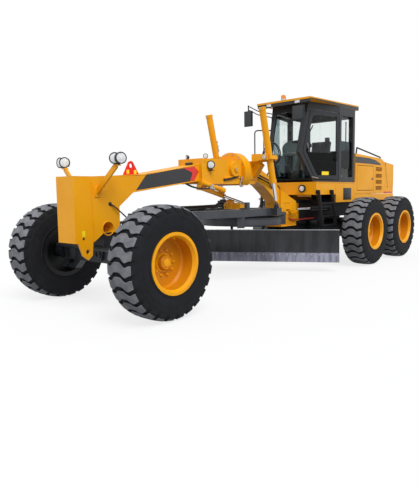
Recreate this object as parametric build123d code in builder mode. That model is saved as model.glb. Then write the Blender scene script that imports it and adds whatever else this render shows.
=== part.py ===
from build123d import *
from math import atan2, cos, hypot, pi, radians, sin, sqrt
import os

# A six-wheeled motor grader at full size, in millimetres.
# X points forward, Y to the driver's left and Z up. The origin is on the
# ground, under the middle of the machine. Every station called "fx" is
# counted from the front axle, with rearward distances negative.

# ---- running gear ----
front_axle_x = 3820
wheelbase = 6305
tandem_spacing = 1538
front_track = 2234
rear_track = 2163
tyre_radius = 674
tyre_width = 445
tyre_lugs = 26
lug_height = 28
lug_width = 104
lug_sweep = 50
bead_half_width = 195
sidewall_foot_radius = 410
rim_flange_radius = 363
rim_seat_radius = 318
rim_half_width = 221
rim_flange_wall = 12
rim_wall = 16
rim_disc_wall = 20
hub_barrel_radius = 100
hub_barrel_length = 80
hub_cap_radius = 85
hub_cap_out = 65
spindle_radius = 55
spindle_reach = 20
running_gap = 0.5
seat_gap = 0.3
tandem_case_wall = 150
tandem_case_height = 470
tandem_case_gap = 60

# ---- front axle, lean and steering linkage ----
kingpin_y = 870
kingpin_radius = 28
kingpin_housing_radius = 45
kingpin_ear_radius = 68
kingpin_ear_wall = 26.5
knuckle_low_z = 571
link_z = 777
lean_pin_z = 500
lean_pin_radius = 26
lean_eye_radius = 45
axle_half_depth = 80
axle_end_half_depth = 52
axle_top_z = 790
axle_low_z = 585
steer_arm_length = 150
steer_arm_width = 44
tie_rod_radius = 18
tie_neck_radius = 11
tie_ball_radius = 20
tie_ball_gap = 0.95
lean_bar_x = 150
lean_bar_radius = 25

# ---- front frame ----
frame_half_width = 190
head_front = 290
head_top_z = 1690
head_low_z = 880
nose_front = 550
nose_half_width = 183
side_hole_z = 1040
side_hole_radius = 80
saddle_front = -1620
saddle_rear = -2950
saddle_low_z = 1610
saddle_top_z = 1990
saddle_half_width = 250
neck_half_width = 130
block_half_width = 180
block_front = -3840
block_rear = -4360
block_low_z = 820
tow_hole_radius = 32
tow_plate_wall = 36
lift_eye_hole_radius = 32
lift_eye_wall = 30

# ---- articulation ----
hinge_fx = -4500
hinge_pin_radius = 50
hinge_eye_radius = 130
tongue_low_z = 900
tongue_high_z = 1250
ear_wall = 60
articulation_eye = (-4120, 300, 1150)
articulation_base = (-5100, 500, 1150)
articulation_tube_radius = 45
articulation_rod_radius = 22
articulation_end_gap = 60

# ---- drawbar, circle and blade ----
ball_fx = -320
ball_z = 1000
ball_radius = 58
ball_pin_radius = 24
drawbar_low_z = 1080
drawbar_high_z = 1200
drawbar_beam_width = 110
drawbar_front_y = 90
drawbar_rear_y = 470
circle_fx = -2880
circle_outer_radius = 750
circle_inner_radius = 650
circle_low_z = 930
circle_high_z = 1050
circle_angle = 30.37
shoe_count = 4
lift_ball = (-3110, 576, 1260)
trunnion = (-2910, 576, 2040)
lift_tube_radius = 55
lift_rod_radius = 30
lift_tube_above = 816
lift_tube_below = 430
lift_end_gap = 70
blade_length = 3660
blade_shift = -123
blade_face = -600
blade_low_z = 180
blade_top_z = 780
blade_wall = 20
tip_pin_x = -800
tip_pin_z = 400
tip_pin_radius = 25
arm_y = 300
arm_wall = 40
rail_radius = 30
rail_high_z = 640
rail_low_z = 330
rail_length = 2500
jaw_width = 130

# ---- rear frame, cab and hood ----
body_half_width = 600
rail_inner_y = 300
rail_outer_y = 400
rail_low = 950
rail_high = 1250
deck_front = -4400
deck_rear = -6040
deck_low_z = 1410
deck_step_fx = -5190
deck_step_z = 1250
deck_wall = 30
cab_floor_z = 1655
cab_top_z = 3164
window_top_z = 3000
cab_wall = 50
pillar_low = (-4570, 1655)
pillar_kink = (-4190, 2220)
pillar_top = (-4390, 3010)
cab_nose_fx = -4150
cab_nose_y = 345
door_post_fx = -5300
cab_rear_fx = -5990
roof_front = -4160
roof_rear = -6150
roof_wall = 36
roof_rise = 62
header_gap = 0.3
hood_front = -6040
hood_rear = -7555
hood_top_front_z = 2266
hood_top_rear_z = 2216
hood_low_z = 1410
hood_wall = 40
tail_rear = -8300
door_gap = 12
door_wall = 26
door_pivot_depth = 12
door_pivot_inset = 35
door_frame = 75
door_pin_radius = 8
door_pin_length = 16


def fx(offset):
    """A station counted from the front axle, as a position along X."""
    return front_axle_x + offset


def across_y(y, base=Plane.XY):
    """The plane of (x, z) points at one value of y in a base frame."""
    return Plane(origin=base.from_local_coords((0, y, 0)), x_dir=base.x_dir, z_dir=-base.y_dir)


def plate_xz(outline, low, high, base=Plane.XY, mode=Mode.ADD):
    """A plate cut to (x, z) points, between two values of y."""
    with BuildSketch(across_y(high, base)) as face:
        with BuildLine():
            Polyline(*outline, close=True)
        make_face()
    extrude(face.sketch, amount=high - low, mode=mode)


def plate_xy(outline, low, high, base=Plane.XY, mode=Mode.ADD):
    """A plate cut to (x, y) points, between two heights."""
    with BuildSketch(base.offset(low)) as face:
        with BuildLine():
            Polyline(*outline, close=True)
        make_face()
    extrude(face.sketch, amount=high - low, mode=mode)


def plate_yz(outline, low, high, mode=Mode.ADD):
    """A plate cut to (y, z) points, between two values of x."""
    with BuildSketch(Plane.YZ.offset(low)) as face:
        with BuildLine():
            Polyline(*outline, close=True)
        make_face()
    extrude(face.sketch, amount=high - low, mode=mode)


def block(low, high, base=Plane.XY, mode=Mode.ADD):
    """A square block between two opposite corners."""
    (x0, y0, z0), (x1, y1, z1) = low, high
    plate_xy([(x0, y0), (x1, y0), (x1, y1), (x0, y1)], z0, z1, base, mode)


def bar(start, end, radius, mode=Mode.ADD, bore=0):
    """A round bar or tube between two points."""
    start, end = Vector(*start), Vector(*end)
    with BuildSketch(Plane(origin=start, z_dir=end - start)) as face:
        Circle(radius)
        if bore:
            Circle(bore, mode=Mode.SUBTRACT)
    extrude(face.sketch, amount=(end - start).length, mode=mode)


def bent_bar(points, radius, bend):
    """A round bar along several points, with a bend of one radius at each."""
    with BuildLine() as path:
        FilletPolyline(*[Vector(*point) for point in points], radius=bend)
    with BuildSketch(Plane(origin=path.line @ 0, z_dir=path.line % 0)) as face:
        Circle(radius)
    sweep(face.sketch, path=path.line)


def beam(start, end, width, height):
    """A square tube between two points, with its width level."""
    start, end = Vector(*start), Vector(*end)
    along = end - start
    level = Vector(0, 0, 1).cross(along)
    with BuildSketch(Plane(origin=start, x_dir=level, z_dir=along)) as face:
        Rectangle(width, height)
    extrude(face.sketch, amount=along.length)


def turned_y(profile, x, z, mode=Mode.ADD):
    """A body turned about a cross axis, from (y, radius) points."""
    with BuildSketch(Plane.YZ.offset(x)) as face:
        with BuildLine():
            Polyline(*[(y, z + radius) for y, radius in profile], close=True)
        make_face()
    revolve(face.sketch, axis=Axis((x, 0, z), (0, 1, 0)), mode=mode)


def placed(point, sign=1):
    """A point given from the front axle for the left side, in the frame."""
    return (fx(point[0]), sign * point[1], point[2])


def between(start, end, share):
    """The point at a share of the way between two points."""
    return tuple(a + (b - a) * share for a, b in zip(start, end))


def toward(start, end, distance):
    """The point at a distance from one point towards another."""
    span = sqrt(sum((b - a) ** 2 for a, b in zip(start, end)))
    return between(start, end, distance / span)


sides = (("left", 1), ("right", -1))
nodes = {}
circle_plane = Plane(
    origin=(fx(circle_fx), 0, 0),
    x_dir=(cos(radians(circle_angle)), sin(radians(circle_angle)), 0),
    z_dir=(0, 0, 1),
)

# ---- wheels: the same tyre and rim at six places ----
# name, station, height above ground is the tyre radius, half track, sign
wheel_places = []
for side, sign in sides:
    wheel_places.append(("front_" + side, front_axle_x, front_track / 2, sign))
    middle = fx(-wheelbase)
    wheel_places.append(("mid_" + side, middle + tandem_spacing / 2, rear_track / 2, sign))
    wheel_places.append(("rear_" + side, middle - tandem_spacing / 2, rear_track / 2, sign))

half_tyre = tyre_width / 2
lug_pitch = 360 / tyre_lugs


def tyre_ring(radius, out):
    """The flat-sided ring of the tyre at one distance from its middle plane."""
    with BuildSketch(across_y(out)) as face:
        with Locations((0, 0, 0)):
            RegularPolygon(radius, tyre_lugs, rotation=-90)
    return face.sketch


# the tyre as a flat-sided ring: a corner of it lies under the middle of each lug
bead_radius = (rim_seat_radius + seat_gap) / cos(pi / tyre_lugs)
with BuildPart() as bead_cones:
    for way in (1, -1):
        loft([tyre_ring(bead_radius, way * bead_half_width), tyre_ring(sidewall_foot_radius, way * half_tyre)],
             ruled=True)
with BuildPart() as tyre_shape:
    extrude(tyre_ring(tyre_radius - lug_height, half_tyre), amount=tyre_width)
    lug_outline = [
        (-half_tyre, -lug_width - lug_sweep), (0, lug_sweep - lug_width), (half_tyre, -lug_width - lug_sweep),
        (half_tyre, lug_width - lug_sweep), (0, lug_sweep + lug_width), (-half_tyre, lug_width - lug_sweep),
    ]
    for index in range(tyre_lugs):
        angle = radians(index * lug_pitch - 90)
        out_way = Vector(cos(angle), 0, sin(angle))
        lug_base = Plane(origin=out_way * (tyre_radius - 3 * lug_height), x_dir=(0, 1, 0), z_dir=out_way)
        with BuildSketch(lug_base) as face:
            with BuildLine():
                Polyline(*[(across, along / 2) for across, along in lug_outline], close=True)
            make_face()
        extrude(face.sketch, amount=3 * lug_height)
    extrude(tyre_ring(bead_radius, half_tyre), amount=tyre_width, mode=Mode.SUBTRACT)
    add(bead_cones.part, mode=Mode.SUBTRACT)
rim_bore = rim_seat_radius - rim_wall
rim_profile = [
    (rim_half_width, rim_bore + 22),
    (rim_half_width, rim_flange_radius),
    (rim_half_width - rim_flange_wall, rim_flange_radius),
    (rim_half_width - rim_flange_wall, rim_seat_radius),
    (-rim_half_width + rim_flange_wall, rim_seat_radius),
    (-rim_half_width + rim_flange_wall, rim_flange_radius),
    (-rim_half_width, rim_flange_radius),
    (-rim_half_width, rim_bore),
    (-rim_disc_wall, rim_bore),
    (-rim_disc_wall, hub_barrel_radius),
    (-hub_barrel_length, hub_barrel_radius),
    (-hub_barrel_length, spindle_radius + running_gap),
    (spindle_reach + running_gap, spindle_radius + running_gap),
    (spindle_reach + running_gap, 0),
    (hub_cap_out, 0),
    (hub_cap_out, hub_cap_radius - 12),
    (hub_cap_out - 12, hub_cap_radius),
    (0, hub_cap_radius + 8),
    (0, rim_bore - 24),
    (30, rim_bore),
    (rim_half_width - 40, rim_bore),
]

for name, wheel_x, wheel_y, sign in wheel_places:
    with BuildPart() as tyre:
        add(tyre_shape.part.moved(Location((wheel_x, sign * wheel_y, tyre_radius))))
    nodes["tyre_" + name] = tyre
    with BuildPart() as rim:
        turned_y([(sign * (wheel_y + out), r) for out, r in rim_profile], wheel_x, tyre_radius)
    nodes["rim_" + name] = rim

# ---- front axle ----
axle_outline = [
    (-560, axle_top_z), (560, axle_top_z), (650, 545), (690, lean_pin_z + 12),
    (800, lean_pin_z + 12), (kingpin_y, lean_pin_z + 12), (kingpin_y, lean_pin_z - lean_eye_radius),
    (620, lean_pin_z - lean_eye_radius), (480, axle_low_z), (-480, axle_low_z),
    (-620, lean_pin_z - lean_eye_radius), (-kingpin_y, lean_pin_z - lean_eye_radius),
    (-kingpin_y, lean_pin_z + 12), (-800, lean_pin_z + 12), (-690, lean_pin_z + 12), (-650, 545),
]
with BuildPart() as front_axle:
    plate_yz(axle_outline, fx(-axle_end_half_depth), fx(axle_end_half_depth))
    block((fx(-axle_half_depth), -560, axle_low_z), (fx(axle_half_depth), 560, axle_top_z))
    for side, sign in sides:
        eye = (fx(-axle_end_half_depth), sign * kingpin_y, lean_pin_z)
        bar(eye, (fx(axle_end_half_depth), eye[1], eye[2]), lean_eye_radius)
    for side, sign in sides:
        eye = (fx(-axle_half_depth), sign * kingpin_y, lean_pin_z)
        bar(eye, (fx(axle_half_depth), eye[1], eye[2]), lean_pin_radius + running_gap, Mode.SUBTRACT)
nodes["front_axle"] = front_axle

# ---- lean yokes, knuckles, lean bar and tie rod ----
housing_low = knuckle_low_z + kingpin_ear_wall + running_gap
housing_high = link_z - kingpin_ear_wall - running_gap
cheek_inner = axle_end_half_depth + 6
cheek_outer = cheek_inner + 24
post_out = kingpin_y - kingpin_ear_radius - 17
post_in = kingpin_y - 125
lug_x = lean_bar_x - 28
lug_wall = 12
link_half = 14
for side, sign in sides:
    with BuildPart() as yoke:
        king = (fx(0), sign * kingpin_y)
        bar((*king, housing_low), (*king, housing_high), kingpin_housing_radius)
        span = sorted((sign * post_in, sign * kingpin_y))
        block((fx(-38), span[0], housing_low + 2), (fx(38), span[1], housing_high - 2))
        span = sorted((sign * post_in, sign * post_out))
        block((fx(-30), span[0], housing_low - 30), (fx(50), span[1], link_z + 28))
        block((fx(-cheek_outer), span[0], 570), (fx(cheek_outer), span[1], 620))
        block((fx(30), span[0], link_z - 30), (fx(lug_x), span[1], link_z + 28))
        lug = sorted((sign * post_in, sign * (kingpin_y + 32)))
        block((fx(lug_x - lug_wall), lug[0], link_z - 30), (fx(lug_x), lug[1], link_z + 28))
        for near, far in ((-cheek_outer, -cheek_inner), (cheek_inner, cheek_outer)):
            cheek = [
                (sign * post_in, 620), (sign * post_out, 620), (sign * (post_out + 20), 560),
                (sign * (kingpin_y + 40), 530), (sign * (kingpin_y + 40), 470),
                (sign * (kingpin_y - 20), 455), (sign * post_in, 520),
            ]
            plate_yz(cheek, fx(near), fx(far))
        bar((*king, housing_low - 1), (*king, housing_high + 1), kingpin_radius + running_gap, Mode.SUBTRACT)
        bar((fx(-cheek_outer), king[1], lean_pin_z), (fx(cheek_outer), king[1], lean_pin_z), lean_pin_radius)
        bar((fx(lug_x), king[1], link_z), (fx(lean_bar_x + link_half), king[1], link_z), 14)
    nodes["lean_yoke_" + side] = yoke

    with BuildPart() as knuckle:
        king = (fx(0), sign * kingpin_y)
        for low in (knuckle_low_z, link_z - kingpin_ear_wall):
            bar((*king, low), (*king, low + kingpin_ear_wall), kingpin_ear_radius)
            span = sorted((sign * kingpin_y, sign * (kingpin_y + 95)))
            block((fx(-52), span[0], low), (fx(52), span[1], low + kingpin_ear_wall))
        span = sorted((sign * (kingpin_y + 51), sign * (kingpin_y + 95)))
        block((fx(-52), span[0], knuckle_low_z), (fx(52), span[1], link_z))
        bar((*king, knuckle_low_z), (*king, link_z), kingpin_radius)
        hub_face = front_track / 2 - hub_barrel_length - 1
        spindle_end = front_track / 2 + spindle_reach
        axis = (fx(0), tyre_radius)
        bar((axis[0], sign * (kingpin_y + 90), axis[1]), (axis[0], sign * hub_face, axis[1]), 88)
        bar((axis[0], sign * (kingpin_y + 90), axis[1]), (axis[0], sign * spindle_end, axis[1]), spindle_radius)
        half = steer_arm_width / 2
        arm = sorted((sign * (kingpin_y - half), sign * (kingpin_y + half)))
        low = link_z - kingpin_ear_wall
        block((fx(-steer_arm_length), arm[0], low), (fx(0), arm[1], link_z))
        bar((fx(-steer_arm_length), king[1], low), (fx(-steer_arm_length), king[1], link_z), half)
    nodes["knuckle_" + side] = knuckle

with BuildPart() as lean_bar:
    bar((fx(lean_bar_x), -kingpin_y + 20, link_z), (fx(lean_bar_x), kingpin_y - 20, link_z), lean_bar_radius)
    for side, sign in sides:
        eye = (fx(lean_bar_x - link_half), sign * kingpin_y, link_z)
        end = (fx(lean_bar_x + link_half), eye[1], link_z)
        bar(eye, end, 32)
        bar(eye, end, 14 + running_gap, Mode.SUBTRACT)
nodes["lean_bar"] = lean_bar

with BuildPart() as tie_rod:
    rod_z = link_z + tie_ball_gap + tie_ball_radius
    rod_x = fx(-steer_arm_length)
    bar((rod_x, -kingpin_y, rod_z), (rod_x, kingpin_y, rod_z), tie_neck_radius)
    bar((rod_x, -kingpin_y + 70, rod_z), (rod_x, kingpin_y - 70, rod_z), tie_rod_radius)
    for side, sign in sides:
        with Locations((rod_x, sign * kingpin_y, rod_z)):
            Sphere(tie_ball_radius)
nodes["tie_rod"] = tie_rod

# ---- front frame: head, beam, saddle section, gooseneck, hinge block ----
head_outline = [
    (fx(head_front), head_low_z), (fx(head_front), head_top_z), (fx(-570), 1730),
    (fx(-1640), 1903), (fx(-1640), 1655), (fx(-1520), 1640), (fx(-350), 1490),
    (fx(-115), 1310), (fx(-115), 960), (fx(-30), 985), (fx(140), 985),
]
neck_outline = [
    (fx(saddle_rear + 60), saddle_top_z), (fx(saddle_rear), saddle_top_z), (fx(block_front + 595), 1880),
    (fx(block_front + 195), 1715), (fx(block_front - 60), 1480), (fx(block_front - 60), 1180),
    (fx(block_front + 97), 1312), (fx(block_front + 281), 1455), (fx(block_front + 472), 1580),
    (fx(block_front + 650), saddle_low_z + 45), (fx(saddle_rear + 60), saddle_low_z),
]
block_outline = [
    (fx(block_front), 1505), (fx(block_rear), 1290), (fx(block_rear), block_low_z),
    (fx(block_front), block_low_z),
]
with BuildPart() as front_frame:
    plate_xz(head_outline, -frame_half_width, frame_half_width)
    plate_xz(neck_outline, -neck_half_width, neck_half_width)
    plate_xz(block_outline, -block_half_width, block_half_width)
    block(
        (fx(saddle_rear), -saddle_half_width, saddle_low_z),
        (fx(saddle_front), saddle_half_width, saddle_top_z),
    )
    block(
        (fx(head_front), -nose_half_width, head_low_z),
        (fx(nose_front), nose_half_width, head_top_z),
    )
    hole = (fx(70), frame_half_width, side_hole_z)
    bar(hole, (hole[0], -hole[1], hole[2]), side_hole_radius, Mode.SUBTRACT)
    # bracket over the axle, with a cheek in front of it and one behind
    block((fx(-110), -140, axle_top_z + seat_gap), (fx(110), 140, 990))
    for near, far in ((-110, -axle_half_depth - seat_gap), (axle_half_depth + seat_gap, 110)):
        plate_yz([(-140, 850), (140, 850), (70, 620), (-70, 620)], fx(near), fx(far))
    # fork that holds the drawbar's ball
    for low in (ball_z - 105, ball_z + 75):
        block((fx(ball_fx - 50), -70, low), (fx(-100), 70, low + 30))
    block((fx(-200), -70, ball_z - 105), (fx(-100), 70, ball_z + 105))
    bar((fx(ball_fx), 0, ball_z - 120), (fx(ball_fx), 0, ball_z + 120), ball_pin_radius + running_gap, Mode.SUBTRACT)
    # tongue of the frame hinge
    block((fx(hinge_fx), -hinge_eye_radius, tongue_low_z), (fx(block_rear), hinge_eye_radius, tongue_high_z))
    bar((fx(hinge_fx), 0, tongue_low_z), (fx(hinge_fx), 0, tongue_high_z), hinge_eye_radius)
    bar((fx(hinge_fx), 0, 0), (fx(hinge_fx), 0, 2000), hinge_pin_radius + running_gap, Mode.SUBTRACT)
    # ears for the articulation rods
    for side, sign in sides:
        span = sorted((0, sign * (articulation_eye[1] + 35)))
        x = articulation_eye[0]
        block((fx(x - 40), span[0], articulation_eye[2] - 45), (fx(x + 40), span[1], articulation_eye[2] - 25))
nodes["front_frame"] = front_frame

with BuildPart() as front_lugs:
    eye_outline = [(fx(-340), 1720), (fx(-600), 1738), (fx(-500), 1900), (fx(-470), 1915), (fx(-440), 1900)]
    plate_xz(eye_outline, -lift_eye_wall / 2, lift_eye_wall / 2)
    plate_xz(head_outline, -frame_half_width, frame_half_width, mode=Mode.SUBTRACT)
    bar((fx(-470), 50, 1850), (fx(-470), -50, 1850), lift_eye_hole_radius, Mode.SUBTRACT)
    # tow plate under the left side of the nose
    tow_outline = [(fx(500), head_low_z), (fx(440), 720), (fx(370), 665), (fx(310), 720), (fx(295), head_low_z)]
    plate_xz(tow_outline, nose_half_width - tow_plate_wall, nose_half_width)
    bar((fx(372), nose_half_width - 50, 768), (fx(372), nose_half_width + 50, 768), tow_hole_radius, Mode.SUBTRACT)
nodes["front_lugs"] = front_lugs

# lamp stalk foot and head, from the front axle, for the left side
stalk_foot = (200, frame_half_width, 1490)
stalk_head = (185, 560, 1790)
lamp_centre = (183, 573, 1893)
lamp_radius = 70
lamp_half_gap = 86
with BuildPart() as front_lamps:
    for side, sign in sides:
        foot, head = placed(stalk_foot, sign), placed(stalk_head, sign)
        beam(foot, head, 60, 26)
        x, y, z = placed(lamp_centre, sign)
        bar((x - 10, y, z - 50), (x - 10, y, head[2] - 20), 14)
        # two round lamps in one oval shell, each turned a little outward
        for shift in (-lamp_half_gap, lamp_half_gap):
            bar((x - 75, y + 0.7 * shift, z), (x + 62, y + shift, z), lamp_radius)
        block((x - 70, y - 0.8 * lamp_half_gap, z - 58), (x + 45, y + 0.8 * lamp_half_gap, z + 58))
    block((fx(0), -frame_half_width, 0), (fx(500), frame_half_width, 2500), mode=Mode.SUBTRACT)
nodes["front_lamps"] = front_lamps

# ---- saddle: collar, lock pin, arms to the lift trunnions ----
collar_fx = -2655
collar_wall = 160
collar_radius = 335
collar_z = 1800
collar_low_z = 1590
cheek_wall = 25
lock_fx = -2372
lock_boss_radius = 118
arm_fx = trunnion[0]
with BuildPart() as saddle:
    with BuildSketch(Plane.YZ.offset(fx(collar_fx) - collar_wall / 2)) as face:
        with Locations((0, collar_z)):
            Circle(collar_radius)
    extrude(face.sketch, amount=collar_wall)
    block(
        (fx(collar_fx) - collar_wall, -collar_radius, 0),
        (fx(collar_fx) + collar_wall, collar_radius, collar_low_z), mode=Mode.SUBTRACT,
    )
    for side, sign in sides:
        span = sorted((sign * (saddle_half_width - 1), sign * (saddle_half_width + cheek_wall)))
        block((fx(arm_fx - 70), span[0], 1690), (fx(collar_fx), span[1], 1975))
    for side, sign in sides:
        foot = (fx(arm_fx), sign * saddle_half_width, 1760)
        tip = (fx(arm_fx), sign * (trunnion[1] - 180), trunnion[2] - 80)
        beam(foot, tip, 110, 120)
        bar((fx(arm_fx), sign * (saddle_half_width - 30), 1930), (fx(arm_fx), sign * (trunnion[1] - 125), trunnion[2]), 60)
        bar(
            (fx(arm_fx), sign * (trunnion[1] - 150), trunnion[2]),
            (fx(arm_fx), sign * (trunnion[1] - 100), trunnion[2]), 62,
        )
    bar((fx(lock_fx), saddle_half_width, 1848), (fx(lock_fx), saddle_half_width + 50, 1848), lock_boss_radius)
    bar((fx(lock_fx), saddle_half_width, 1848), (fx(lock_fx), saddle_half_width + 75, 1848), 45)
    # lower arm that carries the shift cylinder on the right
    beam((fx(-2500), -200, 1640), (fx(-2500), -520, 1690), 110, 90)
    block(
        (fx(saddle_rear), -saddle_half_width, saddle_low_z),
        (fx(saddle_front), saddle_half_width, saddle_top_z), mode=Mode.SUBTRACT,
    )
nodes["saddle"] = saddle

# ---- lift cylinders: a ring yoke, a barrel and a rod on each side ----
ring_half_x = 103
ring_inner_x = 75
ring_half_y = 92
ring_inner_y = 62
ring_half_z = 30
ring_pin_radius = 18
prong_near = 109
prong_far = 137
barrel_pin_radius = 20
lift_rod_inside = 900
tube_end_wall = 40
with BuildPart() as lift_forks:
    for side, sign in sides:
        x, y, z = placed(trunnion, sign)
        for near, far in ((-prong_far, -prong_near), (prong_near, prong_far)):
            span = sorted((sign * (saddle_half_width + 60), y + sign * 45))
            block((x + near, span[0], z - 45), (x + far, span[1], z + 45))
        span = sorted((sign * (saddle_half_width + 60), sign * 450))
        block((x - prong_far, span[0], z - 60), (x + prong_far, span[1], z + 60))
        pin = (x - prong_far, y, z)
        bar(pin, (x + prong_far, y, z), ring_pin_radius + running_gap, Mode.SUBTRACT)

for side, sign in sides:
    pivot = placed(trunnion, sign)
    ball = placed(lift_ball, sign)
    top = toward(pivot, ball, -lift_tube_above)
    gland = toward(pivot, ball, lift_tube_below)
    x, y, z = pivot
    with BuildPart() as yoke:
        block((x - ring_half_x, y - ring_half_y, z - ring_half_z), (x + ring_half_x, y + ring_half_y, z + ring_half_z))
        block(
            (x - ring_inner_x, y - ring_inner_y, z - ring_half_z),
            (x + ring_inner_x, y + ring_inner_y, z + ring_half_z), mode=Mode.SUBTRACT,
        )
        bar((x - prong_far, y, z), (x - ring_inner_x, y, z), ring_pin_radius)
        bar((x + ring_inner_x, y, z), (x + prong_far, y, z), ring_pin_radius)
        bar((x, y - 200, z), (x, y + 200, z), barrel_pin_radius + running_gap, Mode.SUBTRACT)
    nodes["lift_yoke_" + side] = yoke
    with BuildPart() as barrel:
        bar((x, y - ring_half_y, z), (x, y + ring_half_y, z), barrel_pin_radius)
        bar(top, gland, lift_tube_radius)
        bar(toward(pivot, ball, lift_tube_below - 60), gland, lift_tube_radius + 6)
        bar(top, toward(top, gland, 50), lift_tube_radius + 5)
        bar(toward(top, gland, tube_end_wall), toward(pivot, ball, lift_tube_below + 1),
            lift_rod_radius + running_gap, Mode.SUBTRACT)
    nodes["lift_barrel_" + side] = barrel
    with BuildPart() as rod:
        bar(toward(gland, pivot, lift_rod_inside), toward(ball, pivot, lift_end_gap), lift_rod_radius)
    nodes["lift_rod_" + side] = rod

# ---- shift cylinder, from the saddle's right arm to the drawbar ----
shift_base = (-2500, -600, 1560)
shift_eye = (-2500, 400, 1280)
shift_tube_radius = 40
shift_rod_radius = 22
shift_tube_length = 560
shift_rod_start = 303
shift_end_gap = 60
base, eye = placed(shift_base), placed(shift_eye)
with BuildPart() as shift_fork:
    x, y, z = base
    for near, far in ((-68, -44), (44, 68)):
        plate_yz([(-540, 1690), (-480, 1640), (-560, z - 40), (-640, z - 40), (-640, z + 40), (-580, 1735), (-520, 1735)],
                 x + near, x + far)
    bar((x - 100, y, z), (x + 100, y, z), 20 + running_gap, Mode.SUBTRACT)
with BuildPart() as saddle:
    add(nodes["saddle"].part)
    add(lift_forks.part)
    add(shift_fork.part)
nodes["saddle"] = saddle
with BuildPart() as shift_barrel:
    x, y, z = base
    bar((x - 43, y, z), (x + 43, y, z), 42)
    bar((x - 68, y, z), (x + 68, y, z), 20)
    bar(base, toward(base, eye, shift_tube_length), shift_tube_radius)
    bar(toward(base, eye, 60), toward(base, eye, shift_tube_length + 1), shift_rod_radius + running_gap, Mode.SUBTRACT)
nodes["shift_barrel"] = shift_barrel
with BuildPart() as shift_rod:
    bar(toward(base, eye, shift_rod_start), toward(eye, base, shift_end_gap), shift_rod_radius)
nodes["shift_rod"] = shift_rod

# ---- articulation cylinders ----
articulation_tube_length = 560
articulation_rod_start = 245
for side, sign in sides:
    base, eye = placed(articulation_base, sign), placed(articulation_eye, sign)
    with BuildPart() as barrel:
        bar((base[0], base[1], base[2] - 44), (base[0], base[1], base[2] + 44), 44)
        bar(base, toward(base, eye, articulation_tube_length), articulation_tube_radius)
        bar(toward(base, eye, 60), toward(base, eye, articulation_tube_length + 1),
            articulation_rod_radius + running_gap, Mode.SUBTRACT)
        bar((base[0], base[1], base[2] - 200), (base[0], base[1], base[2] + 200), 20 + running_gap, Mode.SUBTRACT)
    nodes["articulation_barrel_" + side] = barrel
    with BuildPart() as rod:
        bar(toward(base, eye, articulation_rod_start), toward(eye, base, articulation_end_gap), articulation_rod_radius)
    nodes["articulation_rod_" + side] = rod

# ---- drawbar ----
ball_centre = (fx(ball_fx), 0, ball_z)
with BuildPart() as drawbar_ball:
    with Locations(ball_centre):
        Sphere(ball_radius)
    bar((fx(ball_fx), 0, ball_z - 104), (fx(ball_fx), 0, ball_z + 104), ball_pin_radius)
    bar((fx(ball_fx), -92, ball_z), (fx(ball_fx), 92, ball_z), ball_pin_radius)
nodes["drawbar_ball"] = drawbar_ball

drawbar_tail = -3330
tail_plate_end = -3490
tail_plate_wall = 45
cheek_outline = [
    (fx(-285), ball_z - 45), (fx(-285), ball_z + 45), (fx(-420), ball_z + 45), (fx(-480), drawbar_high_z),
    (fx(-760), drawbar_high_z), (fx(-760), drawbar_low_z), (fx(-560), ball_z - 45),
]
half_beam = drawbar_beam_width / 2
beam_outline = [
    (-470, 20), (-470, drawbar_front_y), (-2300, drawbar_rear_y + half_beam),
    (drawbar_tail, drawbar_rear_y + half_beam), (drawbar_tail, drawbar_rear_y - half_beam),
    (-2320, drawbar_rear_y - half_beam), (-720, 20),
]
with BuildPart() as drawbar:
    for side, sign in sides:
        span = sorted((sign * 64, sign * 94))
        plate_xz(cheek_outline, span[0], span[1])
        plate_xy([(fx(x), sign * y) for x, y in beam_outline], drawbar_low_z, drawbar_high_z)
    block((fx(-760), -70, drawbar_low_z), (fx(-470), 70, drawbar_high_z))
    # cross members: front station, rear station, half width
    for front, rear, half in ((-2300, -2420, drawbar_rear_y), (-3040, -3180, 640)):
        block((fx(rear), -half, drawbar_low_z), (fx(front), half, drawbar_high_z))
    block((fx(-3060), -330, drawbar_low_z), (fx(-2400), 80, drawbar_low_z + 25))
    tail_half = drawbar_rear_y + half_beam
    block((fx(tail_plate_end), -tail_half, drawbar_low_z), (fx(-3180), tail_half, drawbar_low_z + tail_plate_wall))
    bar((fx(ball_fx), -200, ball_z), (fx(ball_fx), 200, ball_z), ball_pin_radius + running_gap, Mode.SUBTRACT)
    for side, sign in sides:
        x, y, z = placed(lift_ball, sign)
        bar((x, y, drawbar_high_z - 20), (x, y, z - 20), 26)
        with Locations((x, y, z)):
            Sphere(40)
    x, y, z = placed(shift_eye)
    block((x - 35, y - 10, drawbar_low_z), (x + 35, y + 50, z + 30))
    for index in range(shoe_count):
        angle = radians(37.7 + (index % 2) * (180 - 2 * 37.7) + (index // 2) * 180)
        shoe = Plane(origin=(fx(circle_fx), 0, 0), x_dir=(cos(angle), sin(angle), 0), z_dir=(0, 0, 1))
        block((circle_outer_radius + 5, -60, 905), (790, 60, drawbar_low_z), shoe)
        block((722, -60, 905), (790, 60, circle_low_z - seat_gap), shoe)
        block((690, -60, circle_high_z + seat_gap), (790, 60, drawbar_low_z), shoe)
nodes["drawbar"] = drawbar

drive_x, drive_y = fx(-2800), -180
with BuildPart() as circle_drive:
    bar((drive_x, drive_y, drawbar_low_z + 25), (drive_x, drive_y, 1290), 115)
    bar((drive_x, drive_y, 1290), (drive_x, drive_y, 1350), 70)
    block((drive_x - 60, drive_y + 40, 1180), (drive_x + 60, drive_y + 260, 1290))
nodes["circle_drive"] = circle_drive

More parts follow.
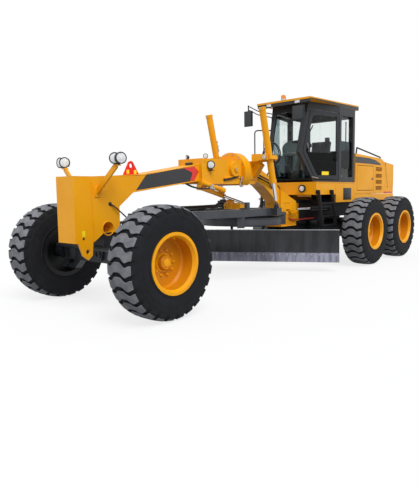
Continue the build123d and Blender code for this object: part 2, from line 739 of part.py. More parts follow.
# ---- circle and its arms, in the frame that turns with the blade ----
arm_outline = [
    (-400, circle_low_z), (-610, circle_low_z), (-625, 897), (-755, 897), (-838, 800),
    (-842, 420), (-835, 380), (-800, 358), (-770, 380), (-762, 420), (-762, 790), (-715, 850), (-400, 850),
]
with BuildPart() as circle:
    with BuildSketch(circle_plane.offset(circle_low_z)) as face:
        Circle(circle_outer_radius)
        Circle(circle_inner_radius, mode=Mode.SUBTRACT)
    extrude(face.sketch, amount=circle_high_z - circle_low_z)
    for sign in (1, -1):
        span = sorted((sign * (arm_y - arm_wall / 2), sign * (arm_y + arm_wall / 2)))
        plate_xz(arm_outline, span[0], span[1], circle_plane)
    ends = [circle_plane.from_local_coords((-720, y, 855)) for y in (-arm_y, arm_y)]
    bar(ends[0], ends[1], 36)
    ends = [circle_plane.from_local_coords((tip_pin_x, y, tip_pin_z)) for y in (-600, 600)]
    bar(ends[0], ends[1], tip_pin_radius + running_gap, Mode.SUBTRACT)
nodes["circle"] = circle

rail_centre = -700
carrier_outline = [
    (-696, 745), (-696, 285), (-740, 285), (-800, 358), (-835, 380), (-842, 420), (-755, 560), (-740, 745),
]
side_tube_z = 715
side_tube_radius = 25
side_rod_radius = 14
carrier_near = arm_y + arm_wall / 2 + 6
with BuildPart() as blade_carrier:
    for sign in (1, -1):
        span = sorted((sign * carrier_near, sign * (carrier_near + jaw_width)))
        plate_xz(carrier_outline, span[0], span[1], circle_plane)
        ends = [circle_plane.from_local_coords((tip_pin_x, sign * y, tip_pin_z)) for y in (arm_y - 30, carrier_near + 10)]
        bar(ends[0], ends[1], tip_pin_radius)
    ends = [circle_plane.from_local_coords((rail_centre, y, side_tube_z)) for y in (-900, 470)]
    bar(ends[0], ends[1], side_tube_radius)
    for z in (rail_high_z, rail_low_z):
        ends = [circle_plane.from_local_coords((rail_centre, y, z)) for y in (-2000, 2000)]
        bar(ends[0], ends[1], rail_radius + running_gap, Mode.SUBTRACT)
    ends = [circle_plane.from_local_coords((rail_centre, y, side_tube_z)) for y in (-870, 480)]
    bar(ends[0], ends[1], side_rod_radius + running_gap, Mode.SUBTRACT)
nodes["blade_carrier"] = blade_carrier

blade_from = blade_shift - blade_length / 2
blade_to = blade_shift + blade_length / 2
edge_start = (-648, 345)
edge_end = (-603, 195)
edge_run = hypot(edge_end[0] - edge_start[0], edge_end[1] - edge_start[1])
edge_dir = ((edge_end[0] - edge_start[0]) / edge_run, (edge_end[1] - edge_start[1]) / edge_run)
edge_face = (-edge_dir[1], edge_dir[0])
rod_bracket_y = 1100
with BuildPart() as moldboard:
    with BuildSketch(across_y(blade_to, circle_plane)) as face:
        with BuildLine():
            ThreePointArc((blade_face, blade_top_z), (-660, 545), edge_start)
            Polyline(edge_start, edge_end, (edge_end[0] - blade_wall, edge_end[1]),
                     (edge_start[0] - blade_wall, edge_start[1]))
            ThreePointArc((edge_start[0] - blade_wall, edge_start[1]), (-660 - blade_wall, 545),
                          (blade_face - blade_wall, blade_top_z))
            Line((blade_face - blade_wall, blade_top_z), (blade_face, blade_top_z))
        make_face()
    extrude(face.sketch, amount=blade_length)
    middle = blade_shift
    for z in (rail_high_z, rail_low_z):
        ends = [circle_plane.from_local_coords((rail_centre, middle + y, z)) for y in (-rail_length / 2, rail_length / 2)]
        bar(ends[0], ends[1], rail_radius)
        block((rail_centre + 10, middle - rail_length / 2, z - 8), (-660, middle + rail_length / 2, z + 8), circle_plane)
    block((rail_centre - 20, rod_bracket_y, side_tube_z - 20), (-640, rod_bracket_y + 25, side_tube_z + 20), circle_plane)
    ends = [circle_plane.from_local_coords((rail_centre, y, side_tube_z)) for y in (-250, rod_bracket_y + 10)]
    bar(ends[0], ends[1], side_rod_radius)
nodes["moldboard"] = moldboard

edge_length = (edge_start[1] - blade_low_z) / -edge_dir[1]
edge_wall = 20


def edge_point(along, out):
    return (
        edge_start[0] + edge_dir[0] * along + edge_face[0] * out,
        edge_start[1] + edge_dir[1] * along + edge_face[1] * out,
    )


with BuildPart() as cutting_edge:
    outline = [edge_point(0, seat_gap), edge_point(edge_length, seat_gap), edge_point(edge_length, edge_wall), edge_point(0, edge_wall)]
    plate_xz(outline, blade_from, blade_to, circle_plane)
nodes["cutting_edge"] = cutting_edge

# ---- rear chassis and tandem drive ----
chassis_front = -4850
chassis_rear = -8000
weight_rear = -8160
hitch_pin_fx = -8230
hitch_pin_radius = 20
with BuildPart() as rear_chassis:
    for side, sign in sides:
        span = sorted((sign * rail_inner_y, sign * (rail_outer_y - 20)))
        block((fx(chassis_rear), span[0], rail_low), (fx(chassis_front), span[1], rail_high))
        for station in (-4950, -5900):
            block((fx(station - 60), span[0], rail_high), (fx(station), span[1], cab_floor_z - deck_wall))
        x, y, z = placed(articulation_base, sign)
        foot = sorted((sign * rail_inner_y, y + sign * 40))
        block((x - 40, foot[0], z - 66), (x + 40, foot[1], z - 45))
        bar((x, y, z - 66), (x, y, z + 44), 20)
    for front, rear in ((chassis_front, chassis_front - 100), (-5700, -5780), (-7900, chassis_rear)):
        block((fx(rear), -rail_outer_y + 20, rail_low - 60), (fx(front), rail_outer_y - 20, rail_high + 40))
    hinge = fx(hinge_fx)
    for low in (tongue_low_z - running_gap - ear_wall, tongue_high_z + running_gap):
        block((fx(chassis_front), -hinge_eye_radius, low), (hinge, hinge_eye_radius, low + ear_wall))
        bar((hinge, 0, low), (hinge, 0, low + ear_wall), hinge_eye_radius)
    bar((hinge, 0, tongue_low_z - ear_wall), (hinge, 0, tongue_high_z + ear_wall), hinge_pin_radius)
    # notches that clear the articulation cylinders
    for side, sign in sides:
        span = sorted((sign * 340, sign * rail_outer_y))
        z = articulation_base[2]
        block((fx(-4960), span[0], z - 60), (fx(chassis_front), span[1], z + 60), mode=Mode.SUBTRACT)
    # counterweight at the tail
    block((fx(weight_rear), -520, 1000), (fx(chassis_rear), 520, 1400))
nodes["rear_chassis"] = rear_chassis

with BuildPart() as tow_hitch:
    block((fx(weight_rear - 20), -90, 1040), (fx(weight_rear), 90, 1230))
    for low in (1080, 1160):
        block((fx(hitch_pin_fx - 45), -60, low), (fx(weight_rear), 60, low + 30))
    bar((fx(hitch_pin_fx), 0, 1000), (fx(hitch_pin_fx), 0, 1300), hitch_pin_radius, Mode.SUBTRACT)
nodes["tow_hitch"] = tow_hitch

tandem_fx = -wheelbase
case_in = rear_track / 2 - half_tyre - tandem_case_gap - tandem_case_wall
case_out = case_in + tandem_case_wall
axle_tube_radius = 140
with BuildPart() as tandem_drive:
    bar((fx(tandem_fx), -case_in, tyre_radius), (fx(tandem_fx), case_in, tyre_radius), axle_tube_radius)
    bar((fx(tandem_fx), -200, tyre_radius), (fx(tandem_fx), 200, tyre_radius), 215)
    for side, sign in sides:
        span = sorted((sign * rail_inner_y, sign * (rail_outer_y - 20)))
        block((fx(tandem_fx) - 150, span[0], tyre_radius), (fx(tandem_fx) + 150, span[1], rail_low))
        with BuildSketch(across_y(max(sign * case_in, sign * case_out))) as face:
            with Locations((fx(tandem_fx), tyre_radius)):
                SlotOverall(tandem_spacing + tandem_case_height, tandem_case_height)
        extrude(face.sketch, amount=tandem_case_wall)
        for shift in (tandem_spacing / 2, -tandem_spacing / 2):
            x = fx(tandem_fx) + shift
            flange = rear_track / 2 - hub_barrel_length - 1
            bar((x, sign * case_out, tyre_radius), (x, sign * flange, tyre_radius), 88)
            bar((x, sign * case_out, tyre_radius), (x, sign * (rear_track / 2 + spindle_reach), tyre_radius), spindle_radius)
nodes["tandem_drive"] = tandem_drive

# ---- deck under the cab ----
deck_side = [
    (fx(deck_front), deck_low_z), (fx(deck_front), cab_floor_z), (fx(deck_rear), cab_floor_z),
    (fx(deck_rear), deck_step_z), (fx(deck_step_fx), deck_step_z), (fx(deck_step_fx), deck_low_z),
]
with BuildPart() as deck:
    for side, sign in sides:
        span = sorted((sign * (body_half_width - deck_wall), sign * body_half_width))
        plate_xz(deck_side, span[0], span[1])
    block((fx(deck_rear), -body_half_width, cab_floor_z - deck_wall), (fx(deck_front), body_half_width, cab_floor_z))
    block((fx(deck_front) - deck_wall, -body_half_width, deck_low_z), (fx(deck_front), body_half_width, cab_floor_z))
nodes["deck"] = deck

# ---- cab shell, glass, roof and doors ----
nose_x, post_x, rear_x = fx(cab_nose_fx), fx(door_post_fx), fx(cab_rear_fx)


def cab_plan(inset):
    """The cab's plan, pulled in by a wall."""
    slope = atan2(body_half_width - cab_nose_y, nose_x - post_x)
    side_shift = inset / cos(slope)
    post_y = body_half_width - inset
    nose_y = cab_nose_y - side_shift
    return [(nose_x, nose_y), (post_x, post_y), (rear_x + inset, post_y),
            (rear_x + inset, -post_y), (post_x, -post_y), (nose_x, -nose_y)]


def cab_profile(inset):
    """The cab's side outline, pulled in by a wall."""
    low = (fx(pillar_low[0]) - inset, pillar_low[1])
    kink = (fx(pillar_kink[0]) - inset, pillar_kink[1])
    lean = (pillar_top[0] - pillar_kink[0]) / (pillar_top[1] - pillar_kink[1])
    head = (kink[0] + lean * (cab_top_z - kink[1]), cab_top_z)
    return [low, kink, head, (rear_x + inset, cab_top_z), (rear_x + inset, low[1])]


with BuildPart() as cab_solid:
    plate_xy(cab_plan(0), cab_floor_z, cab_top_z)
    plate_xz(cab_profile(0), -body_half_width, body_half_width, mode=Mode.INTERSECT)

with BuildPart() as cab_space:
    plate_xy(cab_plan(cab_wall), cab_floor_z + cab_wall, cab_top_z - cab_wall)
    plate_xz(cab_profile(cab_wall), -body_half_width, body_half_width, mode=Mode.INTERSECT)

door_run = hypot(nose_x - post_x, body_half_width - cab_nose_y)
door_share = door_run / (nose_x - post_x)
# door opening, as distance along the side from the rear post, and height
opening_outline = [
    (0, 1700), (0, 3030), ((fx(pillar_top[0]) - 95 - post_x) * door_share, 3030),
    ((fx(pillar_kink[0]) - 85 - post_x) * door_share, pillar_kink[1]),
    ((fx(pillar_low[0]) - 55 - post_x) * door_share, 1700),
]
door_planes = {}
for side, sign in sides:
    door_planes[side] = Plane(
        origin=(post_x, sign * body_half_width, 0),
        x_dir=(nose_x - post_x, sign * (cab_nose_y - body_half_width), 0), z_dir=(0, 0, 1),
    )


def outline_inset(outline, inset):
    """The same corners, pulled in by a distance on every side."""
    with BuildSketch() as face:
        with BuildLine():
            Polyline(*outline, close=True)
        make_face()
        offset(amount=-inset, kind=Kind.INTERSECTION)
    return [tuple(edge.position_at(0))[:2] for edge in face.sketch.face().outer_wire().order_edges()]


with BuildPart() as cab_frame:
    add(cab_solid.part)
    add(cab_space.part, mode=Mode.SUBTRACT)
    for side, sign in sides:
        base = door_planes[side]
        span = (-100, 60) if sign > 0 else (-60, 100)
        plate_xz(opening_outline, span[0], span[1], base, Mode.SUBTRACT)
        span = sorted((sign * 400, sign * 700))
        block((rear_x + 90, span[0], 1760), (post_x - 90, span[1], 3000), mode=Mode.SUBTRACT)
    windscreen = [
        (-350, 1730), (350, 1730), (280, pillar_kink[1]), (300, window_top_z),
        (-300, window_top_z), (-280, pillar_kink[1]),
    ]
    plate_yz(windscreen, fx(pillar_low[0]) - 230, fx(cab_nose_fx) + 50, Mode.SUBTRACT)
    block((rear_x - 50, -480, 2330), (rear_x + 100, 480, window_top_z - 10), mode=Mode.SUBTRACT)
    for side, sign in sides:
        base = door_planes[side]
        for low, high in ((1660, 1700 + door_gap), (3030 - door_gap, 3060)):
            point = base.from_local_coords((door_pivot_inset, -sign * door_pivot_depth, low))
            bar(point, point + Vector(0, 0, high - low), door_pin_radius + running_gap, Mode.SUBTRACT)
nodes["cab_frame"] = cab_frame

glass_wall = 8
with BuildPart() as cab_glass:
    near = cab_profile(cab_wall + seat_gap)
    far = cab_profile(cab_wall + seat_gap + glass_wall)
    lower = [(near[0][0] + 30, 1710), near[1], far[1], (far[0][0] + 30, 1710)]
    upper = [near[1], (near[2][0] + 10, 3050), (far[2][0] + 10, 3050), far[1]]
    slope_low = (near[1][0] - near[0][0]) / (near[1][1] - near[0][1])
    slope_high = (near[2][0] - near[1][0]) / (near[2][1] - near[1][1])
    lower = [(near[0][0] + slope_low * 55, 1710), near[1], far[1], (far[0][0] + slope_low * 55, 1710)]
    upper = [near[1], (near[1][0] + slope_high * 830, 3050), (far[1][0] + slope_high * 830, 3050), far[1]]
    plate_xz(lower, -290, 290)
    plate_xz(upper, -290, 290)
    for side, sign in sides:
        out = body_half_width - cab_wall - seat_gap
        span = sorted((sign * out, sign * (out - glass_wall)))
        block((rear_x + 60, span[0], 1730), (post_x - 60, span[1], 3030))
    block((rear_x + cab_wall + seat_gap, -520, 2300), (rear_x + cab_wall + seat_gap + glass_wall, 520, 3020))
nodes["cab_glass"] = cab_glass

roof_low = cab_top_z + header_gap


def roof_top(station):
    """The height of the roof's top, which rises towards the rear."""
    return roof_low + roof_wall + roof_rise * (roof_front - station) / (roof_front - roof_rear)


with BuildPart() as cab_roof:
    roof_outline = [
        (fx(roof_front), roof_low), (fx(roof_front), roof_top(roof_front)),
        (fx(roof_rear), roof_top(roof_rear)), (fx(roof_rear), roof_low),
    ]
    plate_xz(roof_outline, -body_half_width, body_half_width)
nodes["cab_roof"] = cab_roof

for side, sign in sides:
    base = door_planes[side]
    leaf_outline = outline_inset(opening_outline, door_gap)
    pane_outline = outline_inset(opening_outline, door_gap + door_frame)
    near, far = sorted((0, -sign * door_wall))
    with BuildPart() as door:
        plate_xz(leaf_outline, near, far, base)
        plate_xz(pane_outline, -200, 200, base, Mode.SUBTRACT)
        for low, high in ((1700 + door_gap - door_pin_length, 1700 + door_gap + 10),
                          (3030 - door_gap - 10, 3030 - door_gap + door_pin_length)):
            point = base.from_local_coords((door_pivot_inset, -sign * door_pivot_depth, low))
            bar(point, point + Vector(0, 0, high - low), door_pin_radius)
    nodes["door_" + side] = door

# ---- seat and controls ----
with BuildPart() as seat:
    block((fx(-5560), -150, cab_floor_z + cab_wall), (fx(-5260), 150, 1990))
    block((fx(-5620), -250, 1990), (fx(-5120), 250, 2110))
    plate_xz([(fx(-5530), 2110), (fx(-5600), 2545), (fx(-5710), 2545), (fx(-5640), 2110)], -250, 250)
nodes["seat"] = seat

with BuildPart() as controls:
    foot = (fx(-4640), 0, cab_floor_z + cab_wall)
    head = (fx(-4840), 0, 2400)
    block((fx(-4740), -90, cab_floor_z + cab_wall), (fx(-4600), 90, 1900))
    bar((fx(-4690), 0, 1880), head, 45)
    rim_axis = Vector(*head) - Vector(fx(-4690), 0, 1880)
    with BuildSketch(Plane(origin=head, z_dir=rim_axis)) as face:
        Circle(205)
        Circle(170, mode=Mode.SUBTRACT)
        Rectangle(380, 36)
    extrude(face.sketch, amount=30)
nodes["controls"] = controls

# ---- hood, its doors, tail cowl and engine ----
hood_door = (-6120, -6980, 1480, 2030)
stack_x, stack_y, stack_radius = fx(-6500), -330, 55
louvre_heights = (1537, 1677, 1816, 1969)
louvre_front, louvre_rear = -7090, -7430
louvre_half = 40
slat_wall = 8
hood_outline = [
    (fx(hood_front), hood_low_z), (fx(hood_front), hood_top_front_z), (fx(-7360), hood_top_rear_z),
    (fx(hood_rear), 2150), (fx(hood_rear), hood_low_z),
]
with BuildPart() as hood:
    inner = [(fx(hood_front) - hood_wall, 0), (fx(hood_front) - hood_wall, hood_top_front_z - hood_wall),
             (fx(-7360), hood_top_rear_z - hood_wall), (fx(hood_rear) + hood_wall, 2150 - hood_wall), (fx(hood_rear) + hood_wall, 0)]
    plate_xz(hood_outline, -body_half_width, body_half_width)
    plate_xz(inner, -body_half_width + hood_wall, body_half_width - hood_wall, mode=Mode.SUBTRACT)
    front, rear, low, high = hood_door
    block((fx(rear), -700, low), (fx(front), 700, high), mode=Mode.SUBTRACT)
    for z in louvre_heights:
        block((fx(louvre_rear), -700, z - louvre_half), (fx(louvre_front), 700, z + louvre_half), mode=Mode.SUBTRACT)
        for side, sign in sides:
            span = sorted((sign * (body_half_width - hood_wall), sign * (body_half_width - 10)))
            for shift in (-louvre_half / 2, 0, louvre_half / 2):
                slat_z = z + shift - slat_wall / 2
                block((fx(louvre_rear), span[0], slat_z), (fx(louvre_front), span[1], slat_z + slat_wall))
    bar((stack_x, stack_y, 2000), (stack_x, stack_y, 2400), stack_radius + 8, Mode.SUBTRACT)
    for side, sign in sides:
        pin_y = sign * (body_half_width - door_pivot_depth)
        for z0, z1 in ((low - 25, low + 1), (high - 1, high + 25)):
            bar((fx(front) - door_pivot_inset, pin_y, z0), (fx(front) - door_pivot_inset, pin_y, z1),
                door_pin_radius + running_gap, Mode.SUBTRACT)
nodes["hood"] = hood

for side, sign in sides:
    front, rear, low, high = hood_door
    with BuildPart() as door:
        span = sorted((sign * (body_half_width - door_wall), sign * body_half_width))
        block((fx(rear) + door_gap, span[0], low + door_gap), (fx(front) - door_gap, span[1], high - door_gap))
        pin_y = sign * (body_half_width - door_pivot_depth)
        for z0, z1 in ((low + door_gap - door_pin_length - 10, low + door_gap + 10),
                       (high - door_gap - 10, high - door_gap + door_pin_length + 10)):
            bar((fx(front) - door_pivot_inset, pin_y, z0), (fx(front) - door_pivot_inset, pin_y, z1), door_pin_radius)
    nodes["hood_door_" + side] = door

tail_half_width = body_half_width - 10
tail_taper = 60
tail_slats = 7
with BuildPart() as tail_cowl:
    side_outline = [
        (fx(hood_rear), hood_low_z), (fx(hood_rear), 2150), (fx(tail_rear + 110), 2090), (fx(tail_rear), 1672),
        (fx(tail_rear + 120), 1551), (fx(tail_rear + 150), hood_low_z),
    ]
    plan_outline = [
        (fx(hood_rear), tail_half_width), (fx(tail_rear + 170), tail_half_width),
        (fx(tail_rear), tail_half_width - tail_taper), (fx(tail_rear), tail_taper - tail_half_width),
        (fx(tail_rear + 170), -tail_half_width), (fx(hood_rear), -tail_half_width),
    ]
    plate_xz(side_outline, -body_half_width, body_half_width)
    plate_xy(plan_outline, 1000, 2500, mode=Mode.INTERSECT)
    # outlet grille in the rear face, with level slats
    low, high, half = 1700, 2000, 380
    block((fx(tail_rear) - 10, -half, low), (fx(tail_rear + 160), half, high), mode=Mode.SUBTRACT)
    for index in range(tail_slats):
        z = low + (index + 0.5) * (high - low) / tail_slats
        block((fx(tail_rear + 125), -half, z - 6), (fx(tail_rear + 161), half, z + 6))
nodes["tail_cowl"] = tail_cowl

with BuildPart() as engine:
    block((fx(-7300), -rail_outer_y + 20, rail_high), (fx(-6250), rail_outer_y - 20, 2000))
    bar((stack_x, stack_y, 1990), (stack_x, stack_y, 2700), stack_radius)
nodes["engine"] = engine

# ---- ladders, rails, mirrors and lamps ----
ladder_width = 530
ladder_front, ladder_rear = deck_front, deck_front - ladder_width
ladder_top = (body_half_width + 50, 1500)
ladder_foot = (body_half_width + 130, 815)
tube_radius = 16
# mirrors: station, middle across, low, high, half width, height of the arms, side
mirrors = (
    (-3985, 460, 2775, 3030, 120, 3015, 1),
    (-4140, 800, 2782, 3081, 93, 3180, -1),
)
mirror_root = (-4470, 360, 3000)
mirror_elbow_y, mirror_elbow_z = 560, 3055
mirror_arm_radius = 9
mirror_arm_gap = 70
mirror_stem_radius = 12
grab_loop = ((-4330, 350, 2150), (-4080, 600, 2150), (-4080, 600, 2680), (-4330, 350, 2680))
grab_radius = 12
with BuildPart() as steps_and_rails:
    for side, sign in sides:
        for station in (ladder_front, ladder_rear):
            foot_y, top_y = sign * ladder_foot[0], sign * ladder_top[0]
            edge = [
                (top_y - sign * 50, 1500), (top_y + sign * 25, 1500), (foot_y + sign * 30, ladder_foot[1]),
                (foot_y - sign * 30, ladder_foot[1]), (top_y - sign * 20, 1420), (top_y - sign * 50, 1420),
            ]
            plate_yz(edge, fx(station) - 15, fx(station) + 15)
        for z in (1250, 1000, 830):
            share = (z - ladder_foot[1]) / (ladder_top[1] - ladder_foot[1])
            y = ladder_foot[0] + (ladder_top[0] - ladder_foot[0]) * share
            span = sorted((sign * (y - 30), sign * (y + 30)))
            block((fx(ladder_rear), span[0], z - 12), (fx(ladder_front), span[1], z + 12))
        # rail along the hood
        y = sign * 550
        low_front, low_rear = (fx(-6150), y, hood_top_rear_z), (fx(-7500), y, 2100)
        high_front, high_rear = (fx(-6200), y, 2400), (fx(-7420), y, 2250)
        bar(low_front, high_front, tube_radius)
        bar(high_front, high_rear, tube_radius)
        bar(high_rear, low_rear, tube_radius)
    for station, across, low, high, half, arm_z, sign in mirrors:
        y = sign * across
        block((fx(station) - 20, y - half, low), (fx(station) + 20, y + half, high))
        bar((fx(station), y, high - 60), (fx(station), y, max(high + 10, arm_z + 15)), mirror_stem_radius)
        for drop in (0, mirror_arm_gap):
            root = (fx(mirror_root[0]), sign * mirror_root[1], mirror_root[2] - drop)
            if across > mirror_elbow_y:
                elbow = (fx(station), sign * mirror_elbow_y, mirror_elbow_z - drop)
                bent_bar([(fx(station), y, arm_z - drop), elbow, root], mirror_arm_radius, 40)
            else:
                bar((fx(station), y, arm_z - drop), root, mirror_arm_radius)
    # grab loop ahead of the right door, with a second post between its ends
    bent_bar([placed(point, -1) for point in grab_loop], grab_radius, 60)
    post_x, post_y = [(near + far) / 2 for near, far in zip(grab_loop[0][:2], grab_loop[1][:2])]
    bar(placed((post_x, post_y, grab_loop[1][2]), -1), placed((post_x, post_y, grab_loop[2][2]), -1), grab_radius - 3)
    plate_xz(hood_outline, -body_half_width, body_half_width, mode=Mode.SUBTRACT)
    add(cab_solid.part, mode=Mode.SUBTRACT)
nodes["steps_and_rails"] = steps_and_rails

beacon = (-4600, -270, 3400)
with BuildPart() as lamps:
    for side, sign in sides:
        x, y, z = fx(-4230), sign * 400, roof_low - header_gap
        block((x - 30, y - 60, z - 60), (x + 30, y + 60, z))
        x, y, z = fx(deck_front), sign * 280, 1530
        bar((x, y, z), (x + 35, y, z), 62)
    foot_z = roof_top(beacon[0]) + 2.3
    bar((fx(beacon[0]), beacon[1], foot_z), (fx(beacon[0]), beacon[1], 3290), 60)
    bar((fx(beacon[0]), beacon[1], 3290), (fx(beacon[0]), beacon[1], beacon[2]), 52)
nodes["lamps"] = lamps

os.makedirs("parts", exist_ok=True)
for name, piece in nodes.items():
    piece.part.label = name
    export_step(piece.part, "parts/" + name + ".step")
print(len(nodes), "nodes")
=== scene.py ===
from math import cos, pi, radians, sin

import bmesh
import bpy
from mathutils import Matrix, Vector


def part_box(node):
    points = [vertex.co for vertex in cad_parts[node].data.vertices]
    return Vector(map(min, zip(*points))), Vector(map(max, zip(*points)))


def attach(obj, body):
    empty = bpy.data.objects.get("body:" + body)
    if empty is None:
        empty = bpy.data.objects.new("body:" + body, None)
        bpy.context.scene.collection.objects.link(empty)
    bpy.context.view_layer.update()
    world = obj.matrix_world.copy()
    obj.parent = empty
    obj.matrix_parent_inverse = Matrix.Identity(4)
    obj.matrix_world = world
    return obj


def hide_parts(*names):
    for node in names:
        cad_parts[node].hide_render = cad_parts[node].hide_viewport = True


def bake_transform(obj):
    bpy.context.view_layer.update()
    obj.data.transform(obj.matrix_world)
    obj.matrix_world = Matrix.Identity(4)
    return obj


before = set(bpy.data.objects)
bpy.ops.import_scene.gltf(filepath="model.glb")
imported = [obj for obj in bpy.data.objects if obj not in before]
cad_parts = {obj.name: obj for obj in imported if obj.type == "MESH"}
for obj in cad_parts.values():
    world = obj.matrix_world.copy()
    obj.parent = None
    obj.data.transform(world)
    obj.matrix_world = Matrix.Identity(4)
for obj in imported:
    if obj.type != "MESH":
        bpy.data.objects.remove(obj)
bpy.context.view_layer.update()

bl_info = {
    "name": "Motor grader finisher",
    "version": (1, 0, 0),
    "blender": (4, 5, 0),
    "location": "View3D > Sidebar > Grader",
    "description": "Dresses the packed motor grader with treads, trim, hoses and paint",
    "category": "Object",
}

MM = 0.001
SIDES = (("left", 1), ("right", -1))


def middle(node_name):
    """The middle of a CAD node's box, in metres."""
    low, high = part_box(node_name)
    return (Vector(low) + Vector(high)) / 2


# Shapes are drawn in millimetres: from the front axle, the centre line and
# the ground, or in a wheel's or the blade's own frame.
AXLE_FRAME = Matrix.Translation((middle("tyre_front_left").x, 0, 0)) @ Matrix.Scale(MM, 4)
BLADE_ANGLE = radians(30.37)
BLADE_FRAME = (
    Matrix.Translation((middle("circle_drive").x - 0.08, 0, 0))
    @ Matrix.Rotation(BLADE_ANGLE, 4, "Z") @ Matrix.Scale(MM, 4)
)
TYRE_RADIUS = middle("tyre_front_left").z / MM
WHEELS = [end + "_" + side for end in ("front", "mid", "rear") for side, _ in SIDES]
# how much of its own white the floor shows the camera, to fall away at the edges of the shadow
FLOOR_GLOW = 0.78


# ------------------------------------------------------------------ shaping

def block(bm, low, high, turn=None):
    """A square block between two corners, turned about its middle if asked."""
    low, high = Vector(low), Vector(high)
    size = Matrix.Diagonal((*[abs(d) for d in high - low], 1))
    at = Matrix.Translation((low + high) / 2) @ (turn or Matrix())
    return bmesh.ops.create_cube(bm, size=1, matrix=at @ size)["verts"]


def rod(bm, start, end, radius, sides=20, tip=None):
    """A round bar between two points, tapered where a tip radius is given."""
    start, end = Vector(start), Vector(end)
    turn = (end - start).to_track_quat("Z", "Y").to_matrix().to_4x4()
    return bmesh.ops.create_cone(
        bm, cap_ends=True, segments=sides, radius1=radius, radius2=radius if tip is None else tip,
        depth=(end - start).length, matrix=Matrix.Translation((start + end) / 2) @ turn,
    )["verts"]


def slab(bm, outline, depth):
    """A flat plate through corner points, thickened along a vector."""
    corners = [bmesh.ops.create_vert(bm, co=point)["vert"][0] for point in outline]
    face = bm.faces.new(corners)
    grown = bmesh.ops.extrude_face_region(bm, geom=[face])["geom"]
    moved = [item for item in grown if isinstance(item, bmesh.types.BMVert)]
    bmesh.ops.translate(bm, vec=depth, verts=moved)
    sides = {item for vert in corners + moved for item in vert.link_faces}
    bmesh.ops.recalc_face_normals(bm, faces=list(sides))
    return corners + moved


def ring(bm, profile, centre, axis, steps=40):
    """A closed (along, radius) outline turned about an axis."""
    axis = Vector(axis).normalized()
    out = axis.orthogonal().normalized()
    verts = [
        bmesh.ops.create_vert(bm, co=Vector(centre) + axis * along + out * radius)["vert"][0]
        for along, radius in profile
    ]
    edges = [bm.edges.new((verts[i - 1], verts[i])) for i in range(len(verts))]
    before = set(bm.faces)
    bmesh.ops.spin(
        bm, geom=verts + edges, cent=centre, axis=axis, angle=2 * pi, steps=steps, use_merge=True,
    )
    made = list({vert for face in bm.faces if face not in before for vert in face.verts})
    bmesh.ops.remove_doubles(bm, verts=made, dist=0.01)
    made = [vert for vert in made if vert.is_valid]
    faces = list({face for vert in made for face in vert.link_faces})
    bmesh.ops.recalc_face_normals(bm, faces=faces)
    return made


def bolt(bm, point, axis, radius=11, height=9):
    """A hexagon head on its washer."""
    point, axis = Vector(point), Vector(axis).normalized()
    rod(bm, point, point + axis * height * 0.25, radius * 1.35, 12)
    rod(bm, point, point + axis * height, radius, 6, radius * 0.94)


def soften(bm, width, segments=2, angle=30):
    """Rounds every edge sharper than an angle."""
    bmesh.ops.remove_doubles(bm, verts=bm.verts, dist=0.01)
    sharp = [e for e in bm.edges if len(e.link_faces) == 2 and e.calc_face_angle(0) > radians(angle)]
    bmesh.ops.bevel(
        bm, geom=sharp, offset=width, offset_type="OFFSET", affect="EDGES", segments=segments,
        profile=0.5, material=-1, clamp_overlap=True,
    )


def as_mesh(bm, name):
    """Turns a bmesh into a mesh and lets the bmesh go."""
    mesh = bpy.data.meshes.new(name)
    bm.to_mesh(mesh)
    bm.free()
    return mesh


def add_object(name, data):
    """Adds an object with its data to the scene."""
    obj = bpy.data.objects.new(name, data)
    bpy.context.scene.collection.objects.link(obj)
    return obj


def finish_piece(mesh, name, body, finishes, stands_for=(), smooth=35, until=None):
    """Puts a finished mesh on its body with its finishes; given until, it bakes the mesh in place on no body.
    """
    obj = add_object(name, mesh)
    for finish in finishes:
        mesh.materials.append(bpy.data.materials[finish])
    mesh.shade_smooth()
    mesh.set_sharp_from_angle(angle=radians(smooth))
    if until:
        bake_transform(obj)
    else:
        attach(obj, body)
    if stands_for:
        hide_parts(*stands_for)
    return obj


def piece(bm, name, body, *finishes, at=AXLE_FRAME, round_by=0.0, segments=2, stands_for=(), smooth=35):
    """Rounds, places and finishes what a bmesh holds."""
    if round_by:
        soften(bm, round_by, segments)
    bmesh.ops.transform(bm, matrix=at, verts=bm.verts)
    return finish_piece(as_mesh(bm, name), name, body, finishes, stands_for, smooth)


def hoses(name, body, finish, runs, radius, at=AXLE_FRAME, until=None):
    """Held hoses, pipes or bent tubes through points.

    until, when given, leaves the hoses baked in place on no body; its second body and bend ends are not used.
    """
    line = bpy.data.curves.new(name, "CURVE")
    line.dimensions = "3D"
    for run in runs:
        spline = line.splines.new("NURBS")
        spline.points.add(len(run) - 1)
        for knot, point in zip(spline.points, run):
            knot.co = (*(at @ Vector(point)), 1)
        spline.order_u = 3
        spline.use_endpoint_u = True
        spline.resolution_u = 6
    line.bevel_depth = radius * MM
    line.bevel_resolution = 2
    line.use_fill_caps = True
    holder = add_object(name + "_line", line)
    shape = holder.evaluated_get(bpy.context.evaluated_depsgraph_get())
    mesh = bpy.data.meshes.new_from_object(shape)
    bpy.data.objects.remove(holder)
    mesh.name = name
    mesh.materials.clear()
    if until:
        until = (until[0], at @ Vector(until[1]), at @ Vector(until[2]))
    return finish_piece(mesh, name, body, [finish], smooth=60, until=until)


